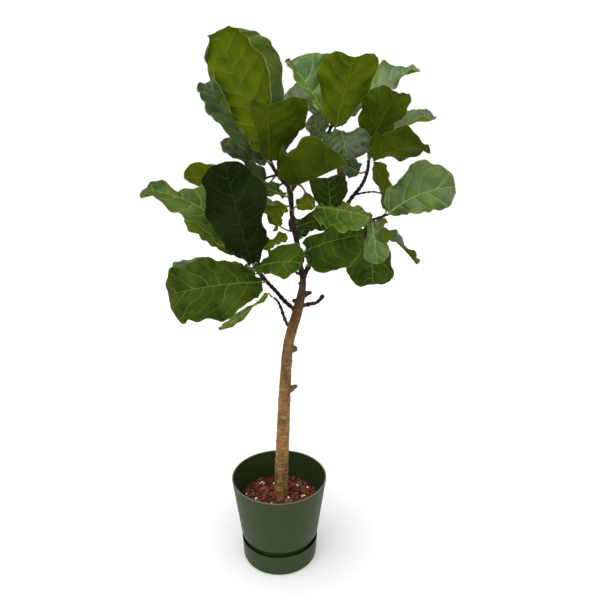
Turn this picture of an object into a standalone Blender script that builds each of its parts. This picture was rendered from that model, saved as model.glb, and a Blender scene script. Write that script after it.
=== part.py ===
"""Potted fiddle leaf fig: a small tree with a bare trunk and a crown of large wavy leaves, in a
round plastic pot that stands in its saucer.

Metres, +Z up. The origin is the centre of the saucer's underside, which rests on the floor, and
the pot's axis is the Z axis. The crown's widest spread lies along X. Each leaf is one solid, its
blade and its stalk, and starts just clear of the wood. Trunk and branches grew as one piece, so
they are one solid.
"""

import math

import bmesh
import bpy
import numpy as np

GAP = 0.0003  # left between pieces that touch in the real plant

# Pot and saucer, turned about the Z axis.
POT_HEIGHT = 0.278
POT_RIM_RADIUS = 0.1475
POT_SHOULDER_RADIUS = 0.121
POT_SHOULDER_HEIGHT = 0.088
POT_FOOT_RADIUS = 0.109
POT_WALL = 0.003
POT_LIP = 0.0045
SAUCER_HEIGHT = 0.068
SAUCER_RIM_RADIUS = 0.1205
SAUCER_BASE_RADIUS = 0.1165
SAUCER_WALL = 0.003
SAUCER_FLOOR = 0.005
SAUCER_EDGE_ROUND = 0.008
TURNED_SIDES = 56

# Soil, and the straight foot of the trunk that stands in it.
SOIL_EDGE_HEIGHT = 0.192
SOIL_CROWN_HEIGHT = 0.200
TRUNK_FOOT = (0.005, 0.020, 0.120)
TRUNK_FOOT_RADIUS = 0.0225
TRUNK_SIDES = 12

# Leaves.
MARGIN_THICKNESS = 0.0011
RIB_THICKNESS = 0.0034
STALK_RADIUS = 0.0022
BLADE_ROWS = (0.0, 0.07, 0.18, 0.32, 0.47, 0.62, 0.76, 0.89, 1.0)
BLADE_COLUMNS = (-1.0, -0.5, 0.0, 0.5, 1.0)
ROLLED_COLUMNS = (-1.0, -0.82, -0.77, -0.71, -0.66, -0.33, 0.0, 0.33, 0.66, 0.71, 0.77, 0.82, 1.0)
STALK_ROWS = (0.0, 0.4, 0.75)

# Wood: each run is (x, y, z, radius) from its start to its end. The trunk comes first, and every
# other run starts inside the one that it grows from.
WOOD = {
    "trunk": [
        (0.005, 0.020, 0.120, 0.0225),
        (0.005, 0.020, 0.160, 0.0225),
        (0.005, 0.020, 0.205, 0.0225),
        (0.007, 0.018, 0.300, 0.0210),
        (0.012, 0.014, 0.400, 0.0202),
        (0.018, 0.007, 0.540, 0.0180),
        (0.028, 0.000, 0.690, 0.0158),
        (0.040, -0.002, 0.755, 0.0152),
        (0.058, 0.000, 0.817, 0.0145),
        (0.070, 0.000, 0.874, 0.0110),
        (0.073, 0.000, 0.912, 0.0090),
        (0.066, 0.000, 0.952, 0.0078),
        (0.058, 0.000, 1.009, 0.0075),
        (0.048, 0.000, 1.057, 0.0070),
        (0.042, 0.000, 1.106, 0.0068),
        (0.038, 0.000, 1.160, 0.0066),
        (0.014, 0.000, 1.190, 0.0058),
        (-0.007, 0.000, 1.219, 0.0052),
        (-0.017, 0.000, 1.252, 0.0048),
        (-0.024, 0.000, 1.295, 0.0044),
        (-0.032, 0.000, 1.335, 0.0036),
    ],
    "crown_middle": [
        (0.037, 0.000, 1.152, 0.0050),
        (0.056, 0.015, 1.178, 0.0055),
        (0.080, 0.034, 1.203, 0.0052),
        (0.106, 0.050, 1.236, 0.0050),
        (0.133, 0.052, 1.289, 0.0046),
        (0.154, 0.052, 1.336, 0.0044),
        (0.162, 0.055, 1.375, 0.0034),
    ],
    "right": [
        (0.073, 0.000, 0.900, 0.0060),
        (0.084, 0.012, 0.935, 0.0068),
        (0.128, 0.042, 0.997, 0.0062),
        (0.173, 0.058, 1.070, 0.0056),
        (0.206, 0.060, 1.126, 0.0052),
        (0.238, 0.060, 1.168, 0.0048),
        (0.252, 0.060, 1.205, 0.0044),
        (0.256, 0.058, 1.245, 0.0042),
        (0.262, 0.056, 1.280, 0.0034),
    ],
    "right_lower": [
        (0.155, 0.052, 1.038, 0.0040),
        (0.190, 0.046, 1.048, 0.0044),
        (0.237, 0.022, 1.065, 0.0042),
        (0.270, 0.006, 1.080, 0.0040),
        (0.304, 0.000, 1.093, 0.0034),
    ],
    "right_spur": [
        (0.216, 0.060, 1.140, 0.0030),
        (0.240, 0.040, 1.148, 0.0028),
        (0.268, 0.028, 1.152, 0.0024),
        (0.296, 0.022, 1.147, 0.0020),
    ],
    "low_left": [
        (0.048, 0.000, 0.822, 0.0056),
        (0.019, -0.002, 0.850, 0.0056),
        (-0.003, -0.004, 0.877, 0.0052),
        (-0.024, -0.004, 0.900, 0.0052),
        (-0.046, -0.003, 0.925, 0.0048),
        (-0.064, 0.000, 0.955, 0.0044),
        (-0.068, 0.002, 0.985, 0.0032),
    ],
    "low_twig": [
        (0.036, -0.003, 0.764, 0.0044),
        (0.022, -0.014, 0.796, 0.0044),
        (0.011, -0.024, 0.835, 0.0040),
        (0.001, -0.031, 0.858, 0.0032),
        (-0.010, -0.036, 0.868, 0.0028),
    ],
    "cut_stub_right": [
        (0.064, 0.000, 0.830, 0.0054),
        (0.092, 0.000, 0.838, 0.0054),
        (0.110, -0.002, 0.842, 0.0046),
        (0.122, -0.003, 0.852, 0.0048),
        (0.129, -0.004, 0.861, 0.0060),
    ],
    "cut_stub_front": [
        (0.069, 0.000, 0.925, 0.0044),
        (0.058, -0.014, 0.932, 0.0040),
        (0.050, -0.022, 0.941, 0.0036),
    ],
    "short_spur_left": [
        (0.006, 0.000, 1.200, 0.0034),
        (-0.014, -0.010, 1.196, 0.0030),
        (-0.030, -0.014, 1.190, 0.0026),
    ],
}
# Swellings on the trunk where older limbs were cut: (height, direction in degrees, rise, spread).
KNOTS = [
    (0.573, -8, 0.0045, 0.012),
    (0.701, -14, 0.0050, 0.012),
    (0.640, 160, 0.0030, 0.012),
    (0.470, -120, 0.0025, 0.014),
    (0.380, 60, 0.0025, 0.014),
    (0.868, -5, 0.0080, 0.010),
    (0.845, 175, 0.0050, 0.010),
    (0.300, 200, 0.0020, 0.016),
]

# Half outlines of a blade: (place along it, half width), as shares of its length and width.
OUTLINES = {
    "round": [
        (0, 0), (-0.02, 0.18), (0.01, 0.42), (0.09, 0.64), (0.2, 0.8), (0.35, 0.91), (0.5, 0.98),
        (0.64, 1), (0.78, 0.95), (0.9, 0.74), (0.98, 0.4), (1, 0),
    ],
    "notched": [
        (0, 0), (0, 0.14), (0.05, 0.34), (0.14, 0.5), (0.27, 0.64), (0.42, 0.78), (0.58, 0.92),
        (0.76, 1), (0.93, 0.94), (1.035, 0.66), (1.02, 0.3), (1, 0),
    ],
    "broad": [
        (0, 0), (0, 0.14), (0.05, 0.34), (0.13, 0.54), (0.24, 0.7), (0.37, 0.83), (0.51, 0.94),
        (0.65, 1), (0.79, 0.97), (0.91, 0.76), (0.985, 0.4), (1, 0),
    ],
    "fiddle": [
        (0, 0), (-0.01, 0.14), (0.03, 0.3), (0.12, 0.42), (0.24, 0.48), (0.36, 0.6), (0.5, 0.8),
        (0.64, 0.97), (0.78, 1), (0.9, 0.8), (0.975, 0.42), (1, 0),
    ],
    "slim": [
        (0, 0), (0.01, 0.14), (0.05, 0.34), (0.13, 0.54), (0.25, 0.7), (0.38, 0.82), (0.52, 0.93),
        (0.65, 1), (0.78, 0.93), (0.89, 0.68), (0.965, 0.34), (1, 0),
    ],
    "long": [
        (0, 0), (0.02, 0.16), (0.08, 0.4), (0.18, 0.66), (0.3, 0.88), (0.43, 1), (0.56, 0.95),
        (0.68, 0.74), (0.8, 0.58), (0.91, 0.54), (0.98, 0.34), (1, 0),
    ],
}


def leaf(grows_from, base, tip, upper, left, right, outline, **shape):
    """One leaf: where it grows, the two ends of its blade, the way its upper side faces, and for
    each half its width, fold, curl and rolled margin (metres, then degrees)."""
    made = {"arch": 0.08, "sway": 0.0, "skew": 0.0, "twist": 0.0}
    made.update({"ruffle": 0.008, "lobes": 0.05, "waves": 2.5})
    made.update(shape)
    made.update({"grows_from": grows_from, "base": base, "tip": tip, "upper": upper})
    made.update({"left": left, "right": right, "outline": outline})
    return made


LEAF_GREEN = (0.03, 0.07, 0.015)
LEAVES = {
    "leaf_top_left_tall": leaf(
        ("trunk", 0.9), (-0.025, -0.02, 1.26), (-0.135, -0.05, 1.545), (0.15, 1, 0.05),
        (0.168, -5, 0, -165), (0.088, -5, 0, -160), "broad", phase=0.37, arch=0.005, ruffle=0.006,
    ),
    "leaf_upper_left_rear": leaf(
        ("trunk", 0.86), (-0.025, 0.03, 1.235), (-0.185, 0.06, 1.435), (0.2, -1, 0.3),
        (0.08, 40, 5, 0), (0.066, 8, 8, 0), "round", phase=0.74, arch=0.06, ruffle=0.01,
    ),
    "leaf_upper_left_front": leaf(
        ("trunk", 0.87), (-0.015, -0.03, 1.24), (-0.01, -0.17, 1.37), (0.05, 0.8, 0.75),
        (0.1, 8, 10, 0), (0.045, 15, -5, 0), "notched", phase=0.11, ruffle=0.006, lobes=0.03,
    ),
    "leaf_top_centre_rear": leaf(
        ("crown_middle", 0.86), (0.14, 0.07, 1.345), (0.04, 0.1, 1.495), (0.1, -1, 0.3),
        (0.045, 45, 10, 0), (0.092, 5, 15, 0), "broad", phase=0.48, arch=0.05, skew=-0.07,
        ruffle=0.009,
    ),
    "leaf_top_centre_left": leaf(
        ("crown_middle", 0.78), (0.135, 0.09, 1.345), (0.02, 0.17, 1.41), (0.1, -1, 0.6),
        (0.04, 10, 12, 0), (0.055, 10, 12, 0), "fiddle", phase=0.85,
    ),
    "leaf_top_centre_front": leaf(
        ("crown_middle", 0.7), (0.16, 0.015, 1.325), (0.2, -0.02, 1.49), (0, 1, 0.15),
        (0.07, 8, 10, 0), (0.078, 8, 10, 0), "notched", phase=0.1, arch=0.05, skew=-0.07,
        ruffle=0.007,
    ),
    "leaf_top_right_ruffled": leaf(
        ("crown_middle", 0.8), (0.175, 0.06, 1.33), (0.39, 0.12, 1.475), (-0.35, -0.35, 1),
        (0.058, 20, 10, 0), (0.05, 10, 0, 0), "fiddle", phase=0.59, arch=0.09, ruffle=0.014,
        waves=3.5,
    ),
    "leaf_upper_right_tall": leaf(
        ("right", 0.85), (0.25, 0.02, 1.265), (0.305, -0.06, 1.405), (-0.1, 1, 0.3),
        (0.06, 10, 15, 0), (0.066, 10, 15, 0), "broad", phase=0.96, ruffle=0.009,
    ),
    "leaf_upper_right_front": leaf(
        ("right", 0.92), (0.26, 0.02, 1.245), (0.375, -0.1, 1.28), (0.1, 0.8, 0.8),
        (0.062, 10, 10, 0), (0.065, 5, 10, 0), "round", phase=0.33, arch=0.05, ruffle=0.012,
    ),
    "leaf_upper_right_outer": leaf(
        ("right", 1), (0.27, 0.09, 1.295), (0.445, 0.13, 1.35), (-0.2, -0.5, 1),
        (0.065, 5, 10, 0), (0.05, 10, 30, 0), "fiddle", phase=0.7, arch=0.04,
    ),
    "leaf_upper_centre_drooping": leaf(
        ("crown_middle", 0.74), (0.175, 0.015, 1.31), (0.185, -0.035, 1.24), (0.05, -0.9, 0.6),
        (0.07, 5, 20, 0), (0.065, 5, 20, 0), "round", phase=0.07, arch=0.12, ruffle=0.01,
    ),
    "leaf_middle_folded": leaf(
        ("trunk", 0.75), (0.045, -0.035, 1.175), (0.175, -0.19, 1.24), (-0.15, 0.9, 0.25),
        (0.055, 85, 0, 0), (0.108, 0, 5, 0), "round", phase=0.44, arch=-0.03, ruffle=0.022,
        lobes=0.09, waves=2.2,
    ),
    "leaf_inner_upright": leaf(
        ("trunk", 0.715), (0.03, 0.04, 1.17), (0.04, 0.065, 1.255), (0, 1, 0), (0.04, 10, 12, 0),
        (0.04, 10, 12, 0), "slim", phase=0.81,
    ),
    "leaf_upper_centre_small": leaf(
        ("crown_middle", 0.66), (0.13, 0.03, 1.295), (0.085, 0, 1.34), (0, -1, 0.5),
        (0.036, 10, 12, 0), (0.036, 10, 12, 0), "broad", phase=0.18,
    ),
    "leaf_upper_left_low": leaf(
        ("trunk", 0.82), (-0.035, 0.045, 1.175), (-0.15, 0.06, 1.285), (0.4, -0.8, 0.7),
        (0.036, 20, 10, 0), (0.04, 30, 20, 0), "fiddle", phase=0.55, ruffle=0.01,
    ),
    "leaf_left_front_upright": leaf(
        ("low_left", 0.84), (-0.065, -0.05, 0.97), (-0.12, -0.12, 1.24), (-0.1, -1, 0.15),
        (0.075, 10, 10, 0), (0.085, 10, 10, 0), "broad", phase=0.92, arch=0.06, ruffle=0.015,
        lobes=0.1,
    ),
    "leaf_left_long": leaf(
        ("low_left", 0.93), (-0.08, -0.015, 0.985), (-0.36, 0, 1.16), (0.15, -0.5, 0.9),
        (0.075, 5, 0, 0), (0.055, 10, 10, 0), "long", phase=0.29, arch=0.17, ruffle=0.017,
        lobes=0.12, waves=3.5,
    ),
    "leaf_left_long_lower": leaf(
        ("low_left", 0.9), (-0.075, 0.03, 0.97), (-0.26, 0.03, 1.075), (0.3, 0.8, 0.6),
        (0.04, 10, 10, 0), (0.06, 10, 10, 0), "slim", phase=0.66, arch=-0.03,
    ),
    "leaf_left_rear": leaf(
        ("trunk", 0.785), (-0.045, 0.1, 1.15), (-0.275, 0.14, 1.185), (-0.1, 1, 0.35),
        (0.045, 10, 12, 0), (0.035, 10, 12, 0), "broad", phase=0.03,
    ),
    "leaf_left_small_inner": leaf(
        ("low_left", 1), (-0.045, 0.035, 0.99), (0.03, 0.07, 1.02), (-0.1, 0.8, 0.5),
        (0.035, 10, 12, 0), (0.018, 10, 12, 0), "broad", phase=0.4,
    ),
    "leaf_lower_centre_front": leaf(
        ("low_left", 0.76), (-0.055, -0.05, 0.955), (0.075, -0.16, 0.995), (0, -1, 0.9),
        (0.055, 5, 10, 0), (0.055, 5, 10, 0), "fiddle", phase=0.77, ruffle=0.01, lobes=0.08,
    ),
    "leaf_lower_left_front": leaf(
        ("low_left", 0.56), (-0.04, -0.05, 0.915), (-0.28, -0.125, 0.9), (-0.1, -1, 0.75),
        (0.115, 8, 15, 0), (0.078, 8, 10, 0), "broad", phase=0.14, ruffle=0.012,
    ),
    "leaf_lower_left_rear": leaf(
        ("low_left", 0.7), (-0.08, 0.03, 0.925), (-0.305, 0.06, 0.945), (0, -0.05, 1),
        (0.06, -10, -10, 0), (0.05, -4, 0, 0), "fiddle", phase=0.51, arch=0.07,
    ),
    "leaf_lowest_left": leaf(
        ("low_twig", 1), (-0.025, -0.04, 0.88), (-0.155, -0.1, 0.795), (-0.5, -0.2, 0.85),
        (0.03, 0, 0, 0), (0.03, 0, 0, 0), "fiddle", phase=0.88, arch=-0.03, ruffle=0.005,
    ),
    "leaf_centre_front_broad": leaf(
        ("trunk", 0.59), (0.075, -0.03, 0.995), (0.225, -0.15, 1.065), (0.1, -1, 0.5),
        (0.04, 10, 20, 0), (0.085, 5, 10, 0), "broad", phase=0.25, arch=0.1, ruffle=0.012,
        lobes=0.08,
    ),
    "leaf_centre_front_right": leaf(
        ("crown_middle", 0.15), (0.11, -0.09, 1.125), (0.24, -0.18, 1.11), (0, -0.6, 0.85),
        (0.02, 15, 10, 0), (0.085, 0, 10, 0), "broad", phase=0.62, arch=0.03,
    ),
    "leaf_right_narrow_upright": leaf(
        ("right_lower", 0.93), (0.305, 0.03, 1.1), (0.27, 0.075, 1.23), (0.75, 0.55, 0),
        (0.032, 10, 12, 0), (0.034, 10, 12, 0), "slim", phase=0.99,
    ),
    "leaf_right_broad": leaf(
        ("right_lower", 1), (0.305, -0.02, 1.1), (0.465, -0.07, 1.175), (-0.1, -1, 0.35),
        (0.076, 6, 10, 0), (0.058, 6, 15, 0), "broad", phase=0.36, arch=0.04, sway=-0.08,
        skew=0.045, ruffle=0.012, lobes=0.07,
    ),
    "leaf_right_hanging_front": leaf(
        ("right_lower", 0.7), (0.26, -0.02, 1.075), (0.27, -0.09, 0.975), (-0.1, -1, 0.3),
        (0.035, 10, 10, 0), (0.035, 10, 10, 0), "fiddle", phase=0.73,
    ),
    "leaf_right_hanging_rear": leaf(
        ("right_lower", 0.66), (0.26, 0.02, 1.06), (0.275, 0.02, 0.89), (-0.1, -1, 0),
        (0.058, 5, 10, 0), (0.072, 5, 10, 0), "broad", phase=0.1, ruffle=0.011,
    ),
    "leaf_right_hanging_small": leaf(
        ("right_lower", 0.8), (0.28, -0.02, 1.055), (0.305, -0.035, 1.025), (0, 1, 0),
        (0.018, 10, 12, 0), (0.018, 10, 12, 0), "slim", phase=0.47,
    ),
    "leaf_right_hanging_twisted": leaf(
        ("right_lower", 0.84), (0.285, 0.02, 1.055), (0.4, 0.04, 0.945), (0.8, -0.3, 0.5),
        (0.04, 20, 0, 0), (0.04, 20, 0, 0), "fiddle", phase=0.84, arch=0.04, twist=60,
    ),
    "leaf_centre_right_upright": leaf(
        ("right", 0.34), (0.15, 0, 1.1), (0.14, 0.02, 1.19), (0, -1, 0.3), (0.055, 10, 12, 0),
        (0.055, 10, 12, 0), "notched", phase=0.21,
    ),
    "leaf_inner_right_small": leaf(
        ("trunk", 0.69), (0.055, -0.035, 1.12), (0.105, -0.03, 1.135), (0, 1, 0.1),
        (0.025, 10, 12, 0), (0.025, 10, 12, 0), "slim", phase=0.58,
    ),
    "leaf_inner_left_narrow": leaf(
        ("trunk", 0.735), (0.025, -0.02, 1.145), (-0.04, -0.035, 1.17), (0, -0.7, 0.7),
        (0.024, 10, 12, 0), (0.024, 10, 12, 0), "slim", phase=0.95,
    ),
    "leaf_inner_left_drooping": leaf(
        ("trunk", 0.7), (0.03, -0.045, 1.12), (0, -0.08, 1.075), (0, 1, 1), (0.048, 10, 12, 0),
        (0.048, 10, 12, 0), "broad", phase=0.32,
    ),
    "leaf_upper_right_inner": leaf(
        ("right", 0.74), (0.232, 0.085, 1.2), (0.175, 0.095, 1.225), (0.1, -1, 0.4),
        (0.04, 10, 12, 0), (0.04, 10, 12, 0), "slim", phase=0.69,
    ),
    "leaf_back_upper_left": leaf(
        ("trunk", 0.95), (0.035, 0.085, 1.31), (0.04, 0.27, 1.37), (0, 0, 1), (0.06, 10, 12, 0),
        (0.06, 10, 12, 0), "broad", phase=0.06,
    ),
    "leaf_back_upper_centre": leaf(
        ("crown_middle", 0.5), (0.12, 0.09, 1.235), (0.13, 0.29, 1.24), (0, 0, 1),
        (0.06, 10, 12, 0), (0.06, 10, 12, 0), "fiddle", phase=0.43,
    ),
    "leaf_back_centre": leaf(
        ("trunk", 0.62), (0.065, 0.04, 1.02), (0.1, 0.25, 1.03), (0, 0.2, 1), (0.055, 10, 12, 0),
        (0.06, 10, 12, 0), "broad", phase=0.8,
    ),
    "leaf_back_left": leaf(
        ("trunk", 0.64), (0, 0.06, 1.06), (-0.09, 0.25, 1.085), (0, 0, 1), (0.07, 10, 12, 0),
        (0.06, 10, 12, 0), "fiddle", phase=0.17,
    ),
    "leaf_back_upper_right": leaf(
        ("right", 0.96), (0.28, 0.09, 1.28), (0.33, 0.27, 1.3), (0, 0.2, 1), (0.055, 10, 12, 0),
        (0.055, 10, 12, 0), "broad", phase=0.54,
    ),
    "leaf_back_right": leaf(
        ("right_lower", 0.5), (0.25, 0.05, 1.05), (0.3, 0.2, 1.02), (0, 0.3, 1),
        (0.05, 10, 12, 0), (0.045, 10, 12, 0), "broad", phase=0.91,
    ),
    "leaf_back_lower_left": leaf(
        ("low_left", 0.5), (-0.05, 0.05, 0.92), (-0.14, 0.21, 0.87), (0, 0.3, 1),
        (0.06, 10, 12, 0), (0.055, 10, 12, 0), "fiddle", phase=0.28,
    ),
    "leaf_inner_centre": leaf(
        ("trunk", 0.65), (0.06, 0.04, 1.055), (0.155, 0.12, 1.07), (0, -1, 0.3),
        (0.045, 10, 12, 0), (0.045, 10, 12, 0), "fiddle", phase=0.65,
    ),
}


def clear_scene():
    for item in list(bpy.data.objects):
        bpy.data.objects.remove(item, do_unlink=True)


def material(name, colour, roughness):
    made = bpy.data.materials.new(name)
    made.use_nodes = True
    shader = made.node_tree.nodes["Principled BSDF"]
    shader.inputs["Base Color"].default_value = (*colour, 1.0)
    shader.inputs["Roughness"].default_value = roughness
    shader.inputs["Metallic"].default_value = 0.0
    return made


def add_object(name, vertices, faces, colour, roughness):
    """A mesh object. Its points are rounded to 0.01 mm, so that neighbouring faces share them exactly."""
    mesh = bpy.data.meshes.new(name)
    mesh.from_pydata([[round(float(x), 5) for x in vertex] for vertex in vertices], [], faces)
    mesh.validate()
    mesh.shade_smooth()
    mesh.materials.append(material(name + "_material", colour, roughness))
    made = bpy.data.objects.new(name, mesh)
    bpy.context.collection.objects.link(made)
    return made


def face_out(made):
    mesh = bmesh.new()
    mesh.from_mesh(made.data)
    bmesh.ops.recalc_face_normals(mesh, faces=mesh.faces)
    if mesh.calc_volume(signed=True) < 0:
        bmesh.ops.reverse_faces(mesh, faces=mesh.faces)
    mesh.to_mesh(made.data)
    mesh.free()
    made.data.set_sharp_from_angle(angle=math.radians(40))
    return made


def turned(name, profile, colour, roughness):
    """A closed profile of (radius, height) spun about the Z axis."""
    vertices = []
    rings = []
    for radius, height in profile:
        if radius < 1e-6:
            rings.append([len(vertices)])
            vertices.append((0.0, 0.0, height))
            continue
        rings.append(list(range(len(vertices), len(vertices) + TURNED_SIDES)))
        for k in range(TURNED_SIDES):
            angle = 2 * math.pi * k / TURNED_SIDES
            vertices.append((radius * math.cos(angle), radius * math.sin(angle), height))
    faces = []
    pairs = list(zip(rings, rings[1:]))
    if len(rings[0]) > 1:
        pairs.append((rings[-1], rings[0]))
    for lower, upper in pairs:
        for k in range(TURNED_SIDES):
            loop = [lower[k % len(lower)], lower[(k + 1) % len(lower)]]
            loop += [upper[(k + 1) % len(upper)], upper[k % len(upper)]]
            faces.append(tuple(dict.fromkeys(loop)))
    return face_out(add_object(name, vertices, faces, colour, roughness))


def pot_inner_radius(height):
    """Inner wall of the pot above its shoulder."""
    share = (height - POT_SHOULDER_HEIGHT) / (POT_HEIGHT - POT_SHOULDER_HEIGHT)
    return POT_SHOULDER_RADIUS + (POT_RIM_RADIUS - POT_SHOULDER_RADIUS) * share - POT_WALL


def make_saucer():
    inner_base = SAUCER_BASE_RADIUS - SAUCER_WALL
    inner_rim = SAUCER_RIM_RADIUS - SAUCER_WALL
    profile = [(0.0, 0.0), (SAUCER_BASE_RADIUS - SAUCER_EDGE_ROUND, 0.0)]
    for step in range(1, 5):
        angle = math.radians(90 * step / 4)
        side = SAUCER_BASE_RADIUS - SAUCER_EDGE_ROUND * (1 - math.sin(angle))
        profile.append((side, SAUCER_EDGE_ROUND * (1 - math.cos(angle))))
    profile += [
        (SAUCER_RIM_RADIUS, SAUCER_HEIGHT - 0.001),
        (SAUCER_RIM_RADIUS - 0.001, SAUCER_HEIGHT),
        (inner_rim, SAUCER_HEIGHT),
        (inner_base, SAUCER_FLOOR + 0.004),
        (inner_base - 0.004, SAUCER_FLOOR),
        (0.0, SAUCER_FLOOR),
    ]
    return turned("saucer", profile, (0.055, 0.078, 0.03), 0.45)


def make_pot():
    foot = SAUCER_FLOOR + GAP
    step = POT_SHOULDER_HEIGHT - 0.004
    lip = POT_RIM_RADIUS - POT_LIP
    profile = [
        (0.0, foot),
        (POT_FOOT_RADIUS - 0.003, foot),
        (POT_FOOT_RADIUS, foot + 0.003),
        (POT_FOOT_RADIUS, step),
        (POT_SHOULDER_RADIUS - 0.003, step),
        (POT_SHOULDER_RADIUS, POT_SHOULDER_HEIGHT),
        (POT_RIM_RADIUS, POT_HEIGHT - 0.0015),
        (POT_RIM_RADIUS - 0.001, POT_HEIGHT),
        (lip, POT_HEIGHT),
        (lip - 0.0004, POT_HEIGHT - 0.008),
        (pot_inner_radius(POT_HEIGHT - 0.012), POT_HEIGHT - 0.012),
        (pot_inner_radius(POT_SHOULDER_HEIGHT + 0.004), POT_SHOULDER_HEIGHT + 0.004),
        (POT_FOOT_RADIUS - POT_WALL, step + POT_WALL),
        (POT_FOOT_RADIUS - POT_WALL, foot + POT_WALL + 0.003),
        (POT_FOOT_RADIUS - POT_WALL - 0.003, foot + POT_WALL),
        (0.0, foot + POT_WALL),
    ]
    return turned("pot", profile, (0.055, 0.078, 0.03), 0.45)


def make_soil():
    """The potting mix fills the pot and has a socket for the trunk's foot."""
    floor = SAUCER_FLOOR + POT_WALL + 2 * GAP
    inner = POT_FOOT_RADIUS - POT_WALL - GAP * 2
    step = POT_SHOULDER_HEIGHT - 0.004 + POT_WALL + GAP
    shoulder = POT_SHOULDER_HEIGHT + 0.004 + GAP
    edge = pot_inner_radius(SOIL_EDGE_HEIGHT) - 2 * GAP
    profile = [
        (0.0, floor),
        (inner - 0.003, floor),
        (inner, floor + 0.003),
        (inner, step),
        (pot_inner_radius(shoulder) - 2 * GAP, shoulder),
        (edge, SOIL_EDGE_HEIGHT),
        (edge * 0.86, SOIL_EDGE_HEIGHT + 0.004),
        (edge * 0.5, SOIL_CROWN_HEIGHT),
        (0.0, SOIL_CROWN_HEIGHT),
    ]
    soil = turned("soil", profile, (0.16, 0.035, 0.015), 0.9)
    bottom = TRUNK_FOOT[2] - GAP
    radius = TRUNK_FOOT_RADIUS / math.cos(math.pi / TRUNK_SIDES) + GAP
    bpy.ops.mesh.primitive_cylinder_add(
        vertices=32,
        radius=radius,
        depth=0.2,
        location=(TRUNK_FOOT[0], TRUNK_FOOT[1], bottom + 0.1),
    )
    cutter = bpy.context.object
    cutter.name = "trunk_socket_cutter"
    cutter.hide_render = True
    cutter.display_type = "WIRE"
    cut = soil.modifiers.new("trunk_socket", "BOOLEAN")
    cut.operation = "DIFFERENCE"
    cut.solver = "EXACT"
    cut.object = cutter
    return soil


def spline(points, at):
    """Catmull-Rom curve through the points, for shares from 0 to 1 of their count."""
    points = np.asarray(points, dtype=float)
    last = len(points) - 1
    place = np.clip(np.asarray(at, dtype=float), 0.0, 1.0) * last
    index = np.minimum(place.astype(int), last - 1)
    share = (place - index)[..., None]
    padded = np.vstack([2 * points[0] - points[1], points, 2 * points[-1] - points[-2]])
    a, b, c, d = (padded[index + k] for k in range(4))
    cubic = (3 * b - 3 * c + d - a) * share**3
    square = (2 * a - 5 * b + 4 * c - d) * share**2
    return 0.5 * (2 * b + (c - a) * share + square + cubic)


def unit(vectors):
    return vectors / np.maximum(np.linalg.norm(vectors, axis=-1, keepdims=True), 1e-12)


def knot_rise(point, direction):
    """How far the trunk's bark stands out at a ring point because of the knots near it."""
    rise = 0.0
    for height, degrees, amount, spread in KNOTS:
        facing = np.array([math.cos(math.radians(degrees)), math.sin(math.radians(degrees)), 0])
        across = max(float(facing @ direction), 0.0) ** 3
        along = math.exp(-(((point[2] - height) / spread) ** 2))
        rise += amount * across * along
    return rise


def tube(run, sides, rings, knots=False):
    """Vertices and faces of a capped round tube of changing radius."""
    path = spline(run, np.linspace(0, 1, rings))
    centres = path[:, :3]
    tangents = unit(np.gradient(centres, axis=0))
    side = unit(np.cross(tangents[0], (0.0, 1.0, 0.0)))
    vertices = []
    for centre, tangent, radius in zip(centres, tangents, path[:, 3]):
        side = unit(side - tangent * (side @ tangent))
        other = np.cross(tangent, side)
        for k in range(sides):
            angle = 2 * math.pi * k / sides
            out = side * math.cos(angle) + other * math.sin(angle)
            swell = knot_rise(centre, out) if knots else 0.0
            vertices.append(centre + out * (radius + swell))
    faces = []
    for ring in range(rings - 1):
        for k in range(sides):
            here, there = ring * sides, (ring + 1) * sides
            after = (k + 1) % sides
            faces.append((here + k, here + after, there + after, there + k))
    faces.append(tuple(range(sides))[::-1])
    faces.append(tuple(range((rings - 1) * sides, rings * sides)))
    return vertices, faces


def make_wood():
    """Trunk and branches, united into one solid."""
    vertices, faces = tube(WOOD["trunk"], TRUNK_SIDES, 44, knots=True)
    wood = face_out(add_object("trunk_and_branches", vertices, faces, (0.16, 0.09, 0.045), 0.85))
    for name, run in WOOD.items():
        if name == "trunk":
            continue
        vertices, faces = tube(run, 7, 2 * len(run) - 1)
        limb = face_out(add_object(name, vertices, faces, (0.02, 0.014, 0.01), 0.8))
        limb.hide_render = True
        limb.display_type = "WIRE"
        join = wood.modifiers.new(name, "BOOLEAN")
        join.operation = "UNION"
        join.solver = "EXACT"
        join.object = limb
    return wood


def half_turn(leaf, across):
    """For each place across the blade: half width, fold, curl and roll of its side, angles in radians."""
    left = np.array(leaf["left"], dtype=float)
    right = np.array(leaf["right"], dtype=float)
    values = np.where((across >= 0)[..., None], right, left)
    return values[..., 0], np.radians(values[..., 1]), np.radians(values[..., 2]), np.radians(values[..., 3])


def leaf_axes(leaf):
    base = np.array(leaf["base"], dtype=float)
    chord = np.array(leaf["tip"], dtype=float) - base
    length = float(np.linalg.norm(chord))
    axis = chord / length
    upper = np.array(leaf["upper"], dtype=float)
    upper = unit(upper - axis * (upper @ axis))
    return base, length, axis, upper, np.cross(axis, upper)


def midrib(leaf, along):
    base, length, axis, upper, side = leaf_axes(leaf)
    bow = 4 * along * (1 - along) * length
    point = base + axis * (along * length)[..., None]
    return point + upper * (leaf["arch"] * bow)[..., None] + side * (leaf["sway"] * bow)[..., None]


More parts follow.
